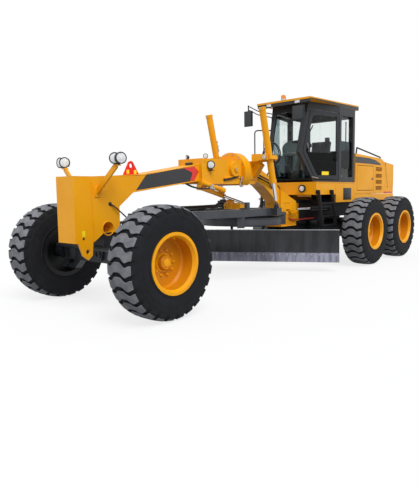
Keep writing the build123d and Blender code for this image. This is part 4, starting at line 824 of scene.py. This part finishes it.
class GRADER_OT_saddle(bpy.types.Operator):
    """Adds the saddle's bosses, a dark painted shadow under a curved lip, bolts, fittings and lamps, and its
    lower lock cylinder
    """
    bl_idname = "grader.saddle"
    bl_label = "Saddle trim"

    def execute(self, context):
        bm, painted_shadow = bmesh.new(), bmesh.new()
        for _, sign in SIDES:
            y = sign * 250
            ring(bm, [(0, 96), (sign * 46, 98), (sign * 51, 104), (sign * 51, 112), (sign * 46, 118),
                      (0, 120)],
                 (-2372, y, 1848), (0, 1, 0), 48)
            block(bm, (-2760, y, 1700), (-2200, y + sign * 14, 1716))
            # curved dark bar below the lock, under a raised lip: a painted shadow
            arc = [(-2115, 1670), (-2200, 1676), (-2290, 1690), (-2385, 1708), (-2471, 1733)]
            for (x0, z0), (x1, z1) in zip(arc, arc[1:]):
                rod(painted_shadow, (x0, y + sign * 14, z0), (x1, y + sign * 14, z1), 15, 12)
                rod(bm, (x0, y + sign * 12, z0 + 30), (x1, y + sign * 12, z1 + 30), 13, 12)
            block(bm, (-1700, y - sign * 10, 1940), (-1660, y + sign * 6, 1986))
        # lower lock cylinder, on the left
        rod(bm, (-1620, 250, 1625), (-2088, 250, 1509), 37, 24)
        rod(bm, (-2030, 250, 1523), (-2120, 250, 1501), 46, 24)
        block(bm, (-1690, 160, 1590), (-1610, 262, 1672))
        piece(bm, "saddle_bosses", "front_frame", "alkyd_enamel_yellow", round_by=3)
        # dark bars under the lip: painted shadow
        piece(painted_shadow, "saddle_painted_shadows", "front_frame", "moulded_polypropylene")

        bm = bmesh.new()
        for _, sign in SIDES:
            y = sign * 250
            rod(bm, (-2346, sign * 324, 1850), (-2346, sign * 332, 1850), 20, 24, 16)
            ring(bm, [(-9, 32), (9, 32), (9, 54), (-9, 54)], (-2552, y + sign * 18, 1613), (0, 1, 0), 28)
            rod(bm, (-2552, y + sign * 18, 1660), (-2552, y + sign * 18, 1738), 13, 16)
            rod(bm, (-2552, y + sign * 18, 1700), (-2552, y + sign * 18, 1716), 24, 6)
            for index in range(5):
                angle = radians(26 + 27 * index)
                bolt(bm, (-2575, 306 * cos(angle) * sign, 1800 + 306 * sin(angle)), (1, 0, 0), 9, 10)
        rod(bm, (-1800, 290, 1530), (-1800, 290, 1600), 27, 20)
        rod(bm, (-1850, 286, 1530), (-1740, 286, 1558), 21, 16)
        rod(bm, (-1800, 262, 1552), (-1800, 316, 1552), 15, 12)
        piece(bm, "saddle_fittings", "front_frame", "zinc_plated_steel")

        shells, lenses = bmesh.new(), bmesh.new()
        for _, sign in SIDES:
            for x, y, z, size in ((-1772, 300, 1894, 1.0), (-1762, 200, 2030, 0.62)):
                turn = (Matrix.Translation((x, sign * y, z)) @ Matrix.Rotation(sign * radians(30), 4, "Z")
                        @ Matrix.Scale(size, 4))
                made = ring(shells, [(-62, 0), (-60, 26), (-34, 54), (4, 64), (16, 62), (16, 55),
                                     (6, 50), (0, 0)],
                            (0, 0, 0), (1, 0, 0), 36)
                made += block(shells, (-40, -12, -80), (-12, 12, -50))
                bmesh.ops.transform(shells, matrix=turn, verts=made)
                made = ring(lenses, [(2, 0), (2, 51), (10, 50), (15, 30), (17, 0)], (0, 0, 0), (1, 0, 0), 32)
                bmesh.ops.transform(lenses, matrix=turn, verts=made)
            block(shells, (-1820, sign * 240, 1806), (-1775, sign * 318, 1820))
        piece(shells, "saddle_lamp_shells", "front_frame", "moulded_polypropylene", smooth=40)
        piece(lenses, "saddle_lamp_lenses", "front_frame", "fluted_lens")
        return {"FINISHED"}


class GRADER_OT_cylinders(bpy.types.Operator):
    """Adds ports, pipes, caps and collars to the lift cylinders"""
    bl_idname = "grader.cylinders"
    bl_label = "Cylinder trim"

    def execute(self, context):
        for side, sign in SIDES:
            pivot, ball = Vector((-2910, sign * 576, 2040)), Vector((-3110, sign * 576, 1260))
            down = (ball - pivot).normalized()
            aside = Vector((-down.z, 0, down.x))
            body = "lift_barrel_" + side
            bm = bmesh.new()
            for at in (-812, 425):
                bolt(bm, pivot + down * (at + 18) + aside * 58, aside, 10, 10)
            for at in (-790, 395):
                rod(bm, pivot + down * at - aside * 40, pivot + down * at - aside * 84, 15, 16)
                port = pivot + down * at - aside * 76
                rod(bm, port - down * 22, port + down * 22, 12, 12)
            piece(bm, "lift_ports_" + side, body, "zinc_plated_steel")
            run = [pivot + down * along - aside * back for along, back in (
                (-770, 76), (-740, 80), (-400, 74), (-150, 74), (-105, 70))]
            hoses("lift_pipes_" + side, body, "alkyd_enamel_yellow", [run], 8)
            bm = bmesh.new()
            for x, way in ((-3049, -1), (-2771, 1)):
                ring(bm, [(0, 0), (way * 18, 0), (way * 18, 32), (way * 12, 40), (0, 40)],
                     (x, sign * 576, 2040), (1, 0, 0), 28)
            piece(bm, "trunnion_caps_" + side, "front_frame", "zinc_plated_steel")
        bm = bmesh.new()
        rod(bm, (-2908, -576, 2381), (-2948, -576, 2229), 13, 12)
        for x, z in ((-2908, 2381), (-2948, 2229), (-2928, 2305)):
            rod(bm, (x + 26, -576, z + 6), (x - 14, -576, z - 6), 19, 6)
        piece(bm, "lift_hose_joints", "lift_barrel_right", "zinc_plated_steel")
        bm = bmesh.new()
        for _, sign in SIDES:
            ring(bm, [(-20, 27), (20, 27), (20, 46), (-20, 46)], (-3110, sign * 576, 1216), (0, 0, 1), 28)
        piece(bm, "lift_ball_collars", "drawbar", "alkyd_enamel_charcoal", round_by=2)
        return {"FINISHED"}


class GRADER_OT_drawbar(bpy.types.Operator):
    """Adds the drawbar's hoses, clamps and valve box, bright lines along its top edges as painted highlights,
    and the circle drive's bolts and flanges
    """
    bl_idname = "grader.drawbar"
    bl_label = "Drawbar trim"

    def execute(self, context):
        runs = []
        for lane, lift in ((0, 0), (34, 4), (66, -2), (20, 30), (50, 30)):
            runs.append([
                (-620, -30 - lane * 0.4, 1222 + lift), (-900, -60 - lane, 1222 + lift),
                (-1300, -80 - lane, 1226 + lift), (-1842, -100 - lane, 1224 + lift),
                (-2250, -190 - lane, 1224 + lift), (-2566, -270 - lane * 0.8, 1226 + lift)])
        hoses("drawbar_hoses", "drawbar", "hose_rubber", runs, 16)
        runs = [[
            (-2540, -290 - lane, 1226), (-2600, -300 - lane, 1262), (-2660, -300 - lane * 0.5, 1300),
            (-2740, -290, 1290 - lane * 0.4),
        ] for lane in (0, 26, 52)]
        hoses("drive_hoses", "drawbar", "hose_rubber", runs, 11)
        bm = bmesh.new()
        for _, sign in SIDES:
            for x in (-1000, -1500, -2000):
                y = sign * (55 + (x + 470) / -1830 * 415)
                bolt(bm, (x, y, 1200), (0, 0, 1), 12, 10)
            block(bm, (-2330, sign * 400, 1200), (-2410, sign * 500, 1222))
        for x, y in ((-1100, -100), (-1600, -122), (-2100, -186)):
            block(bm, (x - 16, y - 66, 1200), (x + 16, y + 50, 1207))
            block(bm, (x - 16, y - 66, 1200), (x + 16, y - 58, 1268))
        block(bm, (-2930, -470, 1206), (-2790, -330, 1330))
        block(bm, (-2900, -440, 1330), (-2820, -360, 1352))
        piece(bm, "drawbar_clamps", "drawbar", "alkyd_enamel_charcoal", round_by=3)
        # bright zinc lines along the drawbar's top edges: painted highlights
        bm = bmesh.new()
        for _, sign in SIDES:
            rod(bm, (-500, sign * 61, 1197), (-2290, sign * 467, 1197), 5, 8)
        piece(bm, "drawbar_painted_edge_highlights", "drawbar", "zinc_plated_steel")
        bm = bmesh.new()
        centre = Vector((-2800, -180, 0))
        for x, y in around(8, 98):
            bolt(bm, centre + Vector((x, y, 1290)), (0, 0, 1), 8, 9)
        for _, sign in SIDES:
            rod(bm, (-2868, sign * 400, 1340), (-2868, sign * 400, 1372), 14, 6)
        piece(bm, "drive_bolts", "drawbar", "zinc_plated_steel")
        bm = bmesh.new()
        for low, high, outer in ((1120, 1136, 126), (1230, 1242, 122)):
            ring(bm, [(low, 116), (high, 116), (high, outer), (low, outer)], centre, (0, 0, 1), 40)
        piece(bm, "drive_flanges", "drawbar", "alkyd_enamel_yellow", round_by=2)
        return {"FINISHED"}


class GRADER_OT_circle(bpy.types.Operator):
    """Adds the circle's wear band and inner teeth"""
    bl_idname = "grader.circle"
    bl_label = "Circle teeth"

    def execute(self, context):
        bm = bmesh.new()
        for low, high in ((1034, 1049), (934, 944)):
            ring(bm, [(low, 750), (high, 750), (high, 753), (low, 753)], (0, 0, 0), (0, 0, 1), 96)
        count = 84
        tooth = slab(bm, [(651, -13, 960), (651, 13, 960), (628, 6, 960), (628, -6, 960)], (0, 0, 76))
        faces = list({f for v in tooth for f in v.link_faces})
        bmesh.ops.spin(bm, geom=faces, cent=(0, 0, 0), axis=(0, 0, 1), angle=2 * pi * (count - 1) / count,
                       steps=count - 1, use_duplicate=True)
        piece(bm, "circle_teeth", "circle", "alkyd_enamel_charcoal", at=BLADE_FRAME)
        return {"FINISHED"}


class GRADER_OT_blade(bpy.types.Operator):
    """Adds the blade's bolts, back ribs and a bright strip on its top edge as a painted highlight"""
    bl_idname = "grader.blade"
    bl_label = "Blade trim"

    def execute(self, context):
        count = context.scene.grader_sizes.edge_bolts
        half, shift = 1830, -123
        bm = bmesh.new()
        run, face = Vector((45, 0, -150)).normalized(), Vector((150, 0, 45)).normalized()
        start = Vector((-648, 0, 345)) + face * 20
        for index in range(count):
            y = shift - half + 60 + (2 * half - 120) * index / (count - 1)
            point = start + run * 34 + Vector((0, y, 0))
            rod(bm, point, point + face * 5, 13, 14, 9)
        piece(bm, "edge_bolts", "blade", "zinc_plated_steel", at=BLADE_FRAME)
        bm = bmesh.new()
        # bright strip along the top edge: painted highlight
        block(bm, (-622, shift - half, 771), (-598, shift + half, 780))
        piece(bm, "blade_painted_top_highlight", "blade", "bright_steel_painted_highlight", at=BLADE_FRAME, round_by=2)
        bm = bmesh.new()
        for y in (-1840, -1600, 1240, 1560):
            plate(bm, [(-622, 770), (-650, 770), (-716, 640), (-716, 330), (-672, 240), (-640, 240),
                       (-668, 345), (-681, 545), (-660, 660)], y, 16)
        piece(bm, "blade_ribs", "blade", "rolled_blade_steel", at=BLADE_FRAME, round_by=1.5)
        return {"FINISHED"}


class GRADER_OT_neck(bpy.types.Operator):
    """Dresses the gooseneck and the hinge block"""
    bl_idname = "grader.neck"
    bl_label = "Gooseneck trim"

    def execute(self, context):
        runs = [[
            (-3120, sign * 134, 1800 - drop), (-3195, sign * 176, 1757 - drop),
            (-3300, sign * 184, 1722 - drop), (-3440, sign * 184, 1682 - drop),
            (-3545, sign * 176, 1642 - drop), (-3620, sign * 134, 1580 - drop),
        ] for _, sign in SIDES for drop in (0, 44)]
        hoses("neck_pipes", "front_frame", "chassis_enamel_black", runs, 14)
        runs = [[
            (-3470, 118, 1770 - lane), (-3500, 190 - lane, 1880), (-3524, 400 - lane, 2049),
            (-3482, 404 - lane, 2218), (-3317, 410 - lane, 2330), (-3130, 420 - lane, 2290),
            (-3000, 425 - lane, 2190), (-2950, 425 - lane, 2060),
        ] for lane in (0, 30)]
        hoses("lift_hoses", "front_frame", "hose_rubber", runs, 10)
        bm = bmesh.new()
        for _, sign in SIDES:
            plate(bm, [(-3865, 1488), (-3953, 1450), (-3953, 1329), (-3880, 1340)], sign * 130, sign * 12)
        piece(bm, "neck_plates", "front_frame", "zinc_plated_steel", round_by=2)
        bm = bmesh.new()
        for _, sign in SIDES:
            y = sign * 180
            block(bm, (-4240, y, 1051), (-3984, y + sign * 8, 1081))
            block(bm, (-4356, y, 822), (-3844, y + sign * 8, 840))
            block(bm, (-4129, y, 1266), (-3931, y + sign * 10, 1284))
            for x in (-3880, -4320):
                for z in (880, 970):
                    bolt(bm, (x, y, z), (0, sign, 0), 13, 11)
        piece(bm, "hinge_block_trim", "front_frame", "alkyd_enamel_yellow", round_by=3)
        # dark strips on the hinge block's flanks standing for slots: painted shade
        bm = bmesh.new()
        for _, sign in SIDES:
            plate(bm, [(-4129, 1116), (-4020, 1116), (-4020, 1140), (-4129, 1140)], sign * 180, sign * 3)
        piece(bm, "hinge_block_painted_slot_shade", "front_frame", "moulded_polypropylene", round_by=1.5)
        # hoses over the hinge, in red sleeves on both sides of it
        runs = [[
            (-4080, sign * 178, 980), (-4136, sign * 198, 940), (-4300, sign * 208, 930),
            (-4476, sign * 226, 932), (-4540, sign * 240, 938),
        ] for _, sign in SIDES]
        hoses("hinge_hoses", "front_frame", "woven_hose_sleeve", runs, 12,
              until=("rear_frame", (-4100, 0, 1000), (-4500, 0, 1000)))
        runs = [[
            (-4540, sign * 250, 940), (-4700, sign * 275, 946), (-4954, sign * 306, 947),
        ] for _, sign in SIDES]
        hoses("hose_sleeves", "rear_frame", "woven_hose_sleeve", runs, 14)
        return {"FINISHED"}


class GRADER_OT_deck(bpy.types.Operator):
    """Adds the deck's round lamps, vents, edges and grips"""
    bl_idname = "grader.deck"
    bl_label = "Deck trim"

    def execute(self, context):
        shells, lenses = bmesh.new(), bmesh.new()
        for _, sign in SIDES:
            place = (-4400, sign * 300, 1530)
            ring(shells, [(0, 0), (26, 0), (26, 52), (34, 56), (34, 74), (0, 74)], place, (1, 0, 0), 40)
            ring(lenses, [(26, 0), (26, 51), (34, 48), (38, 0)], place, (1, 0, 0), 36)
        piece(shells, "deck_lamp_shells", "rear_frame", "moulded_polypropylene", stands_for=["lamps"])
        piece(lenses, "deck_lamp_lenses", "rear_frame", "fluted_lens")
        bm = bmesh.new()
        for _, sign in SIDES:
            block(bm, (-5846, sign * 599, 1296), (-5498, sign * 606, 1538))
            for x in (-5832, -5512):
                for z in (1310, 1524):
                    bolt(bm, (x, sign * 606, z), (0, sign, 0), 6, 4)
            for z in (1356, 1417, 1478):
                block(bm, (-5806, sign * 605, z - 9), (-5538, sign * 610, z + 9))
        piece(bm, "deck_vents", "rear_frame", "moulded_polypropylene", round_by=1.5)
        bm = bmesh.new()
        for _, sign in SIDES:
            block(bm, (-6036, sign * 598, 1640), (-4402, sign * 606, 1655))
            block(bm, (-5186, sign * 598, 1252), (-5170, sign * 606, 1640))
        block(bm, (-4402, -560, 1415), (-4394, 560, 1425))
        piece(bm, "deck_edges", "rear_frame", "alkyd_enamel_yellow", round_by=1.5)
        bm = bmesh.new()
        for _, sign in SIDES:
            rod(bm, (-4385, sign * 203, 1385), (-4385, sign * 490, 1385), 15, 16)
            for y in (215, 478):
                rod(bm, (-4402, sign * y, 1385), (-4385, sign * y, 1385), 11, 12)
        # the grips take the louvres' darkened yellow: painted shade
        piece(bm, "deck_grips", "rear_frame", "louvre_yellow_painted_shade")
        return {"FINISHED"}


# door glass: corners as distance along the door from its hinge post, and height
DOOR_PANES = {
    "lower": ((80, 1780), (1030, 1780), (880, 2225), (80, 2225)),
    "rear": ((80, 2225), (560, 2225), (560, 2945), (80, 2945)),
    "front": ((560, 2225), (872, 2225), (990, 2945), (560, 2945)),
}
PANE_TINT = {
    "lower": "deep_tinted_glass", "rear": "laminated_safety_glass", "front": "laminated_safety_glass",
}


class GRADER_OT_cab(bpy.types.Operator):
    """Adds the cab's beacon, roof lamps, door glass, handles, wiper, seals and mirrors"""
    bl_idname = "grader.cab"
    bl_label = "Cab trim"

    def execute(self, context):
        beacon = (-4600, -270, 0)
        bm = bmesh.new()
        ring(bm, [(3218, 0), (3218, 60), (3250, 60), (3262, 54), (3316, 53), (3316, 0)],
             beacon, (0, 0, 1), 36)
        piece(bm, "beacon_base", "rear_frame", "zinc_plated_steel")
        bm = bmesh.new()
        profile = [(3312, 0), (3312, 51)]
        for step in range(4):
            z = 3320 + step * 13
            profile += [(z, 52 - step), (z + 6, 50 - step)]
        ring(bm, profile + [(3376, 45), (3390, 30), (3398, 12), (3399, 0)], beacon, (0, 0, 1), 36)
        piece(bm, "beacon_dome", "rear_frame", "amber_polycarbonate")

        shells, lenses = bmesh.new(), bmesh.new()
        for _, sign in SIDES:
            block(shells, (-4258, sign * 400 - 60, 3104), (-4206, sign * 400 + 60, 3160))
            block(lenses, (-4170, sign * 321 - 52, 3112), (-4160, sign * 321 + 52, 3160))
        block(shells, (-4192, -592, 3106), (-4168, 592, 3163))
        # black bands low on the roof's flanks, deeper towards the rear: painted shade of the roof's overhang
        for _, sign in SIDES:
            plate(shells, [(-4164, 3166), (-6148, 3166), (-6148, 3238), (-4164, 3180)], sign * 598, sign * 5)
        piece(shells, "roof_lamp_shells_and_painted_shade", "rear_frame", "moulded_polypropylene", round_by=3)
        piece(lenses, "roof_lamp_lenses", "rear_frame", "fluted_lens", round_by=3)

        for side, sign in SIDES:
            # along the door: from its hinge post towards the nose
            post = Vector((-5300, sign * 600, 0))
            lean = Vector((1150, -sign * 255, 0)).normalized()
            out = Vector((lean.y, -lean.x, 0)) * -sign
            grips, labels = bmesh.new(), bmesh.new()
            low, high = post + lean * 98 + Vector((0, 0, 2075)), post + lean * 98 + Vector((0, 0, 2255))
            for end in (low + Vector((0, 0, 15)), high - Vector((0, 0, 15))):
                rod(grips, end - out * 4, end + out * 40, 10, 12)
            rod(grips, low + out * 40, high + out * 40, 10, 12)
            piece(grips, "door_handle_" + side, "door_" + side, "moulded_polypropylene", round_by=2)
            outline = ((304, 1792), (505, 1792), (505, 1862), (304, 1862))
            slab(labels, [post + lean * along - out * 6 + Vector((0, 0, z)) for along, z in outline],
                 out * 3)
            piece(labels, "blank_door_label_" + side, "door_" + side, "vinyl_film_yellow")
            for part, outline in DOOR_PANES.items():
                pane = bmesh.new()
                slab(pane, [post + lean * along - out * 12 + Vector((0, 0, z)) for along, z in outline],
                     out * 6)
                # the right door's front pane alone is darkened: painted shade
                tint = "far_pane_painted_shade_glass" if part == "front" and side == "right" else PANE_TINT[part]
                piece(pane, "door_glass_" + part + "_" + side, "door_" + side, tint)
            pull = bmesh.new()
            low, high = post + lean * 640 + Vector((0, 0, 1726)), post + lean * 800 + Vector((0, 0, 1750))
            for end in (low, high):
                rod(pull, end - out * 4, end + out * 26, 8, 12)
            rod(pull, low + out * 26, high + out * 26, 9, 12)
            piece(pull, "door_pull_" + side, "door_" + side, "zinc_plated_steel", round_by=1)

        bm = bmesh.new()
        for _, sign in SIDES:
            block(bm, (-5900, sign * 556, 1930), (-5390, sign * 562, 2490))
        piece(bm, "quarter_glass", "rear_frame", "deep_tinted_glass")
        bm = bmesh.new()
        # wiper over the windscreen, on its spindle
        rod(bm, (-4278, -60, 2985), (-4306, -60, 2985), 14, 16)
        rod(bm, (-4284, -60, 2985), (-4268, 130, 2610), 6, 8)
        rod(bm, (-4272, 96, 2772), (-4256, 158, 2420), 5, 8)
        # rubber seals round the rear window
        for y in (-478.72, 478.72):
            rod(bm, (-5988, y, 2334), (-5988, y, 2986), 7, 8)
        for z in (2334, 2986):
            rod(bm, (-5988, -480, z), (-5988, 480, z), 7, 8)
        piece(bm, "wiper_and_seals", "rear_frame", "moulded_polypropylene")

        bm, glass = bmesh.new(), bmesh.new()
        for x, y, low, high, half in ((-3985, 460, 2775, 3030, 120), (-4140, -800, 2782, 3081, 93)):
            block(bm, (x - 17, y - half + 1, low + 1), (x + 21, y + half - 1, high - 1))
            block(glass, (x - 21, y - half + 12, low + 12), (x - 18, y + half - 12, high - 12))
        piece(bm, "mirror_shells", "rear_frame", "moulded_abs_grey", round_by=12, segments=3)
        piece(glass, "mirror_faces", "rear_frame", "silvered_glass", round_by=1)
        return {"FINISHED"}


PAD_VOXEL = 0.012
PAD_PRESSURE = 4.0
PAD_RISE = 0.014
PAD_FRAMES = 20
# sideways waves in a pad's cover: share of the way to its middle, waves per metre, and where they end
WAVE_SHARE, WAVE_RATE, WAVE_END = 0.02, 31, 0.2


def swell(pad, push, most):
    """Inflates a pad as cloth under pressure, capped, and makes the result its mesh."""
    start = [vert.co.copy() for vert in pad.data.vertices]
    cloth = pad.modifiers.new("cloth", "CLOTH")
    cloth.settings.use_pressure = True
    cloth.settings.uniform_pressure_force = push
    cloth.settings.tension_stiffness = 30
    cloth.settings.effector_weights.gravity = 0
    cloth.collision_settings.use_collision = False
    scene = bpy.context.scene
    for step in range(1, PAD_FRAMES + 1):
        scene.frame_set(step)
    shape = pad.evaluated_get(bpy.context.evaluated_depsgraph_get())
    moved = [vert.co.copy() for vert in shape.data.vertices]
    pad.modifiers.clear()
    for vert, old, new in zip(pad.data.vertices, start, moved):
        away = new - old
        vert.co = old + away * min(1.0, most / max(away.length, 1e-9))
    scene.frame_set(1)


class GRADER_OT_cabin(bpy.types.Operator):
    """Furnishes the cabin: seat, console, levers, bars and mats"""
    bl_idname = "grader.cabin"
    bl_label = "Cabin"

    def execute(self, context):
        bm = bmesh.new()
        block(bm, (-5556, -146, 1706), (-5264, 146, 1760))
        ring(bm, [(1760, 90), (1960, 120), (1960, 145), (1760, 130)], (-5400, 0, 0), (0, 0, 1), 24)
        block(bm, (-5590, -205, 1960), (-5150, 205, 1992))
        for _, sign in SIDES:
            block(bm, (-5560, sign * 236, 2262), (-5290, sign * 250, 2280))
            block(bm, (-5566, sign * 226, 2000), (-5516, sign * 248, 2270))
        piece(bm, "seat_base", "rear_frame", "moulded_polypropylene", round_by=7, stands_for=["seat"])
        lean = Matrix.Rotation(radians(-9.2), 4, "Y")
        for name, low, high, turn in (
            ("seat_cushion", (-5604, -226, 1998), (-5132, 226, 2092), Matrix()),
            ("seat_back", (-5664, -226, 2118), (-5576, 226, 2532), lean),
        ):
            bm = bmesh.new()
            block(bm, low, high, turn)
            bmesh.ops.subdivide_edges(bm, edges=bm.edges, cuts=3, use_grid_fill=True)
            soften(bm, 14)
            bmesh.ops.transform(bm, matrix=AXLE_FRAME, verts=bm.verts)
            pad = finish_piece(as_mesh(bm, name), name, "rear_frame", ["woven_polyester"], smooth=180)
            remesh = pad.modifiers.new("remesh", "REMESH")
            remesh.mode = "VOXEL"
            remesh.voxel_size = PAD_VOXEL
            shape = pad.evaluated_get(bpy.context.evaluated_depsgraph_get())
            fresh = bpy.data.meshes.new_from_object(shape)
            pad.modifiers.clear()
            pad.data = fresh
            swell(pad, PAD_PRESSURE, PAD_RISE)
            # the cover shifts sideways a little, in waves across the pad
            for vert in pad.data.vertices:
                across = abs(vert.co.y)
                share = 0.0 if across > WAVE_END else WAVE_SHARE * cos(across * WAVE_RATE)
                vert.co = vert.co.lerp(Vector((vert.co.x, 0, vert.co.z)), share)
            pad.data.shade_smooth()

        # console: rounded hood over the instruments, on the floor's pedestal
        bm = bmesh.new()
        outline = ((-372, 2200), (-378, 2374), (-330, 2440), (-250, 2485), (-163, 2501), (-90, 2480),
                   (-20, 2420), (26, 2347), (20, 2200))
        slab(bm, [(-4700, y, z) for y, z in outline], (-150, 0, 0))
        block(bm, (-4800, -110, 1720), (-4740, 110, 2210))
        piece(bm, "console", "rear_frame", "moulded_abs_teal_grey", round_by=22, segments=3)
        bm = bmesh.new()
        block(bm, (-4702, -360, 2247), (-4696, 8, 2259))
        for x in (-4780, -4600):
            block(bm, (x - 8, -172, 2240), (x + 8, -164, 2300))
        piece(bm, "console_line", "rear_frame", "zinc_plated_steel", round_by=2)
        bm = bmesh.new()
        for side in (-1, 1):
            for index in range(4):
                x, y = -4790 - index * 4, side * (232 + index * 34)
                rod(bm, (x, y, 2010), (x - 22, y, 2190), 6, 10)
                rod(bm, (x - 22, y, 2190), (x - 30, y, 2246), 13, 14, 10)
            block(bm, (-4830, side * 210, 1705), (-4760, side * 350, 2016))
        piece(bm, "lever_banks", "rear_frame", "moulded_polypropylene", round_by=4)
        bm = bmesh.new()
        block(bm, (-5900, -420, 1706), (-4420, 420, 1712))
        for index in range(15):
            rod(bm, (-5860, -390 + index * 55, 1712), (-4460, -390 + index * 55, 1712), 4, 6)
        piece(bm, "floor_mat", "rear_frame", "hose_rubber")
        bm = bmesh.new()
        rod(bm, (-5970, -400, 2935), (-5789, -400, 2732), 13, 12)
        rod(bm, (-5970, 400, 2935), (-5970, 400, 2360), 12, 12)
        piece(bm, "cabin_bars", "rear_frame", "alkyd_enamel_charcoal")
        bm = bmesh.new()
        roll = Vector((-5641, 380, 1765))
        made = ring(bm, [(-30, 0), (-30, 84), (-18, 96), (18, 96), (30, 84), (30, 0)], roll, (0, 1, 0), 36)
        bmesh.ops.scale(bm, vec=(1.9, 1, 1), space=Matrix.Translation(-roll), verts=made)
        piece(bm, "rolled_mat", "rear_frame", "tan_canvas")
        return {"FINISHED"}


class GRADER_OT_hood(bpy.types.Operator):
    """Adds the hood's stripe, louvres, latches and seams, and the tail's skirt, lamps and reflectors"""
    bl_idname = "grader.hood"
    bl_label = "Hood trim"

    def execute(self, context):
        thick = context.scene.grader_sizes.film_thickness / MM
        film("hood_stripe", "rear_frame", "vinyl_film_charcoal", [
            (-6042, 2072), (-6042, 2205), (-6728, 2196), (-7080, 2164), (-7290, 2112), (-7372, 2060),
            (-6728, 2070),
        ], 600, thick)
        rows = (1537, 1677, 1816, 1969)
        bm = bmesh.new()
        for _, sign in SIDES:
            for z in rows:
                for shift in (-26, 0, 26):
                    tilt = Matrix.Rotation(sign * radians(38), 4, "X")
                    made = block(bm, (-7426, -9, -2), (-7094, 9, 2), tilt)
                    bmesh.ops.translate(bm, vec=(0, sign * 584, z + shift), verts=made)
        # the slats' yellow is darkened to brown: painted shade
        piece(bm, "hood_louvres", "rear_frame", "louvre_yellow_painted_shade")
        bm = bmesh.new()
        for _, sign in SIDES:
            for z in rows:
                for edge in (z - 47, z + 41):
                    block(bm, (-7438, sign * 600, edge), (-7082, sign * 605, edge + 6))
            block(bm, (-7550, sign * 599, 1434), (-6045, sign * 603, 1440))
            rod(bm, (-7060, sign * 600, 1460), (-7060, sign * 600, 2140), 3, 8)
            rod(bm, (-7060, sign * 600, 2140), (-7540, sign * 600, 2090), 3, 8)
        piece(bm, "hood_seams", "rear_frame", "alkyd_enamel_yellow")
        bm = bmesh.new()
        for _, sign in SIDES:
            # skirt along the frame, below the hood's doors
            plate(bm, [(-6046, 1262), (-6046, 1405), (-8120, 1405), (-8137, 1330), (-8090, 1262)],
                  sign * 588, sign * 11)
            # tail door, standing proud of the cowl
            plate(bm, [(-7640, 1560), (-7640, 2070), (-8120, 2040), (-8120, 1600)], sign * 588, sign * 7)
        piece(bm, "tail_skirt", "rear_frame", "alkyd_enamel_yellow")
        for side, sign in SIDES:
            bm = bmesh.new()
            ring(bm, [(0, 0), (sign * 9, 0), (sign * 9, 20), (sign * 4, 27), (0, 27)],
                 (-6896, sign * 600, 1740), (0, 1, 0), 28)
            piece(bm, "hood_latch_" + side, "hood_door_" + side, "moulded_polypropylene")
        bm, lenses = bmesh.new(), bmesh.new()
        for _, sign in SIDES:
            rod(bm, (-7630, sign * 594, 2133), (-7787, sign * 594, 1542), 4, 8)
            ring(bm, [(0, 0), (-sign * 6, 0), (-sign * 6, 18), (0, 24)],
                 (-7700, sign * 594, 1800), (0, 1, 0), 24)
            ring(lenses, [(0, 0), (-14, 0), (-14, 34), (-8, 44), (0, 44)],
                 (-8284, sign * 440, 1690), (1, 0, 0), 32)
            block(bm, (-8298, sign * 390, 1636), (-8270, sign * 490, 1648))
        piece(bm, "tail_seams", "rear_frame", "moulded_polypropylene")
        piece(lenses, "tail_lamps", "rear_frame", "red_acrylic")
        bm = bmesh.new()
        for _, sign in SIDES:
            block(bm, (-8075, sign * 589, 1420), (-7520, sign * 598, 1448))
        piece(bm, "tail_reflectors", "rear_frame", "red_acrylic", round_by=1.5)
        return {"FINISHED"}


OPERATORS = (
    GRADER_OT_stage, GRADER_OT_paint, GRADER_OT_tyres, GRADER_OT_rims, GRADER_OT_nose, GRADER_OT_axle,
    GRADER_OT_beam, GRADER_OT_saddle, GRADER_OT_cylinders, GRADER_OT_drawbar, GRADER_OT_circle,
    GRADER_OT_blade, GRADER_OT_neck, GRADER_OT_deck, GRADER_OT_cab, GRADER_OT_cabin, GRADER_OT_hood,
)


class GRADER_PT_panel(bpy.types.Panel):
    """Lists the grader's pieces and sizes"""
    bl_label = "Motor grader"
    bl_idname = "GRADER_PT_panel"
    bl_space_type = "VIEW_3D"
    bl_region_type = "UI"
    bl_category = "Grader"

    def draw(self, context):
        layout = self.layout
        for group in (context.scene.grader_sizes, context.scene.grader_look):
            for key in group.__annotations__:
                layout.prop(group, key)
        for operator in OPERATORS:
            layout.operator(operator.bl_idname)


CLASSES = (GraderSizes, GraderLook, *OPERATORS, GRADER_PT_panel)


def register():
    for cls in CLASSES:
        bpy.utils.register_class(cls)
    bpy.types.Scene.grader_sizes = bpy.props.PointerProperty(type=GraderSizes)
    bpy.types.Scene.grader_look = bpy.props.PointerProperty(type=GraderLook)


def unregister():
    del bpy.types.Scene.grader_sizes
    del bpy.types.Scene.grader_look
    for cls in reversed(CLASSES):
        bpy.utils.unregister_class(cls)


def main():
    register()
    for operator in OPERATORS:
        group, name = operator.bl_idname.split(".")
        getattr(getattr(bpy.ops, group), name)()


if __name__ == "__main__":
    main()
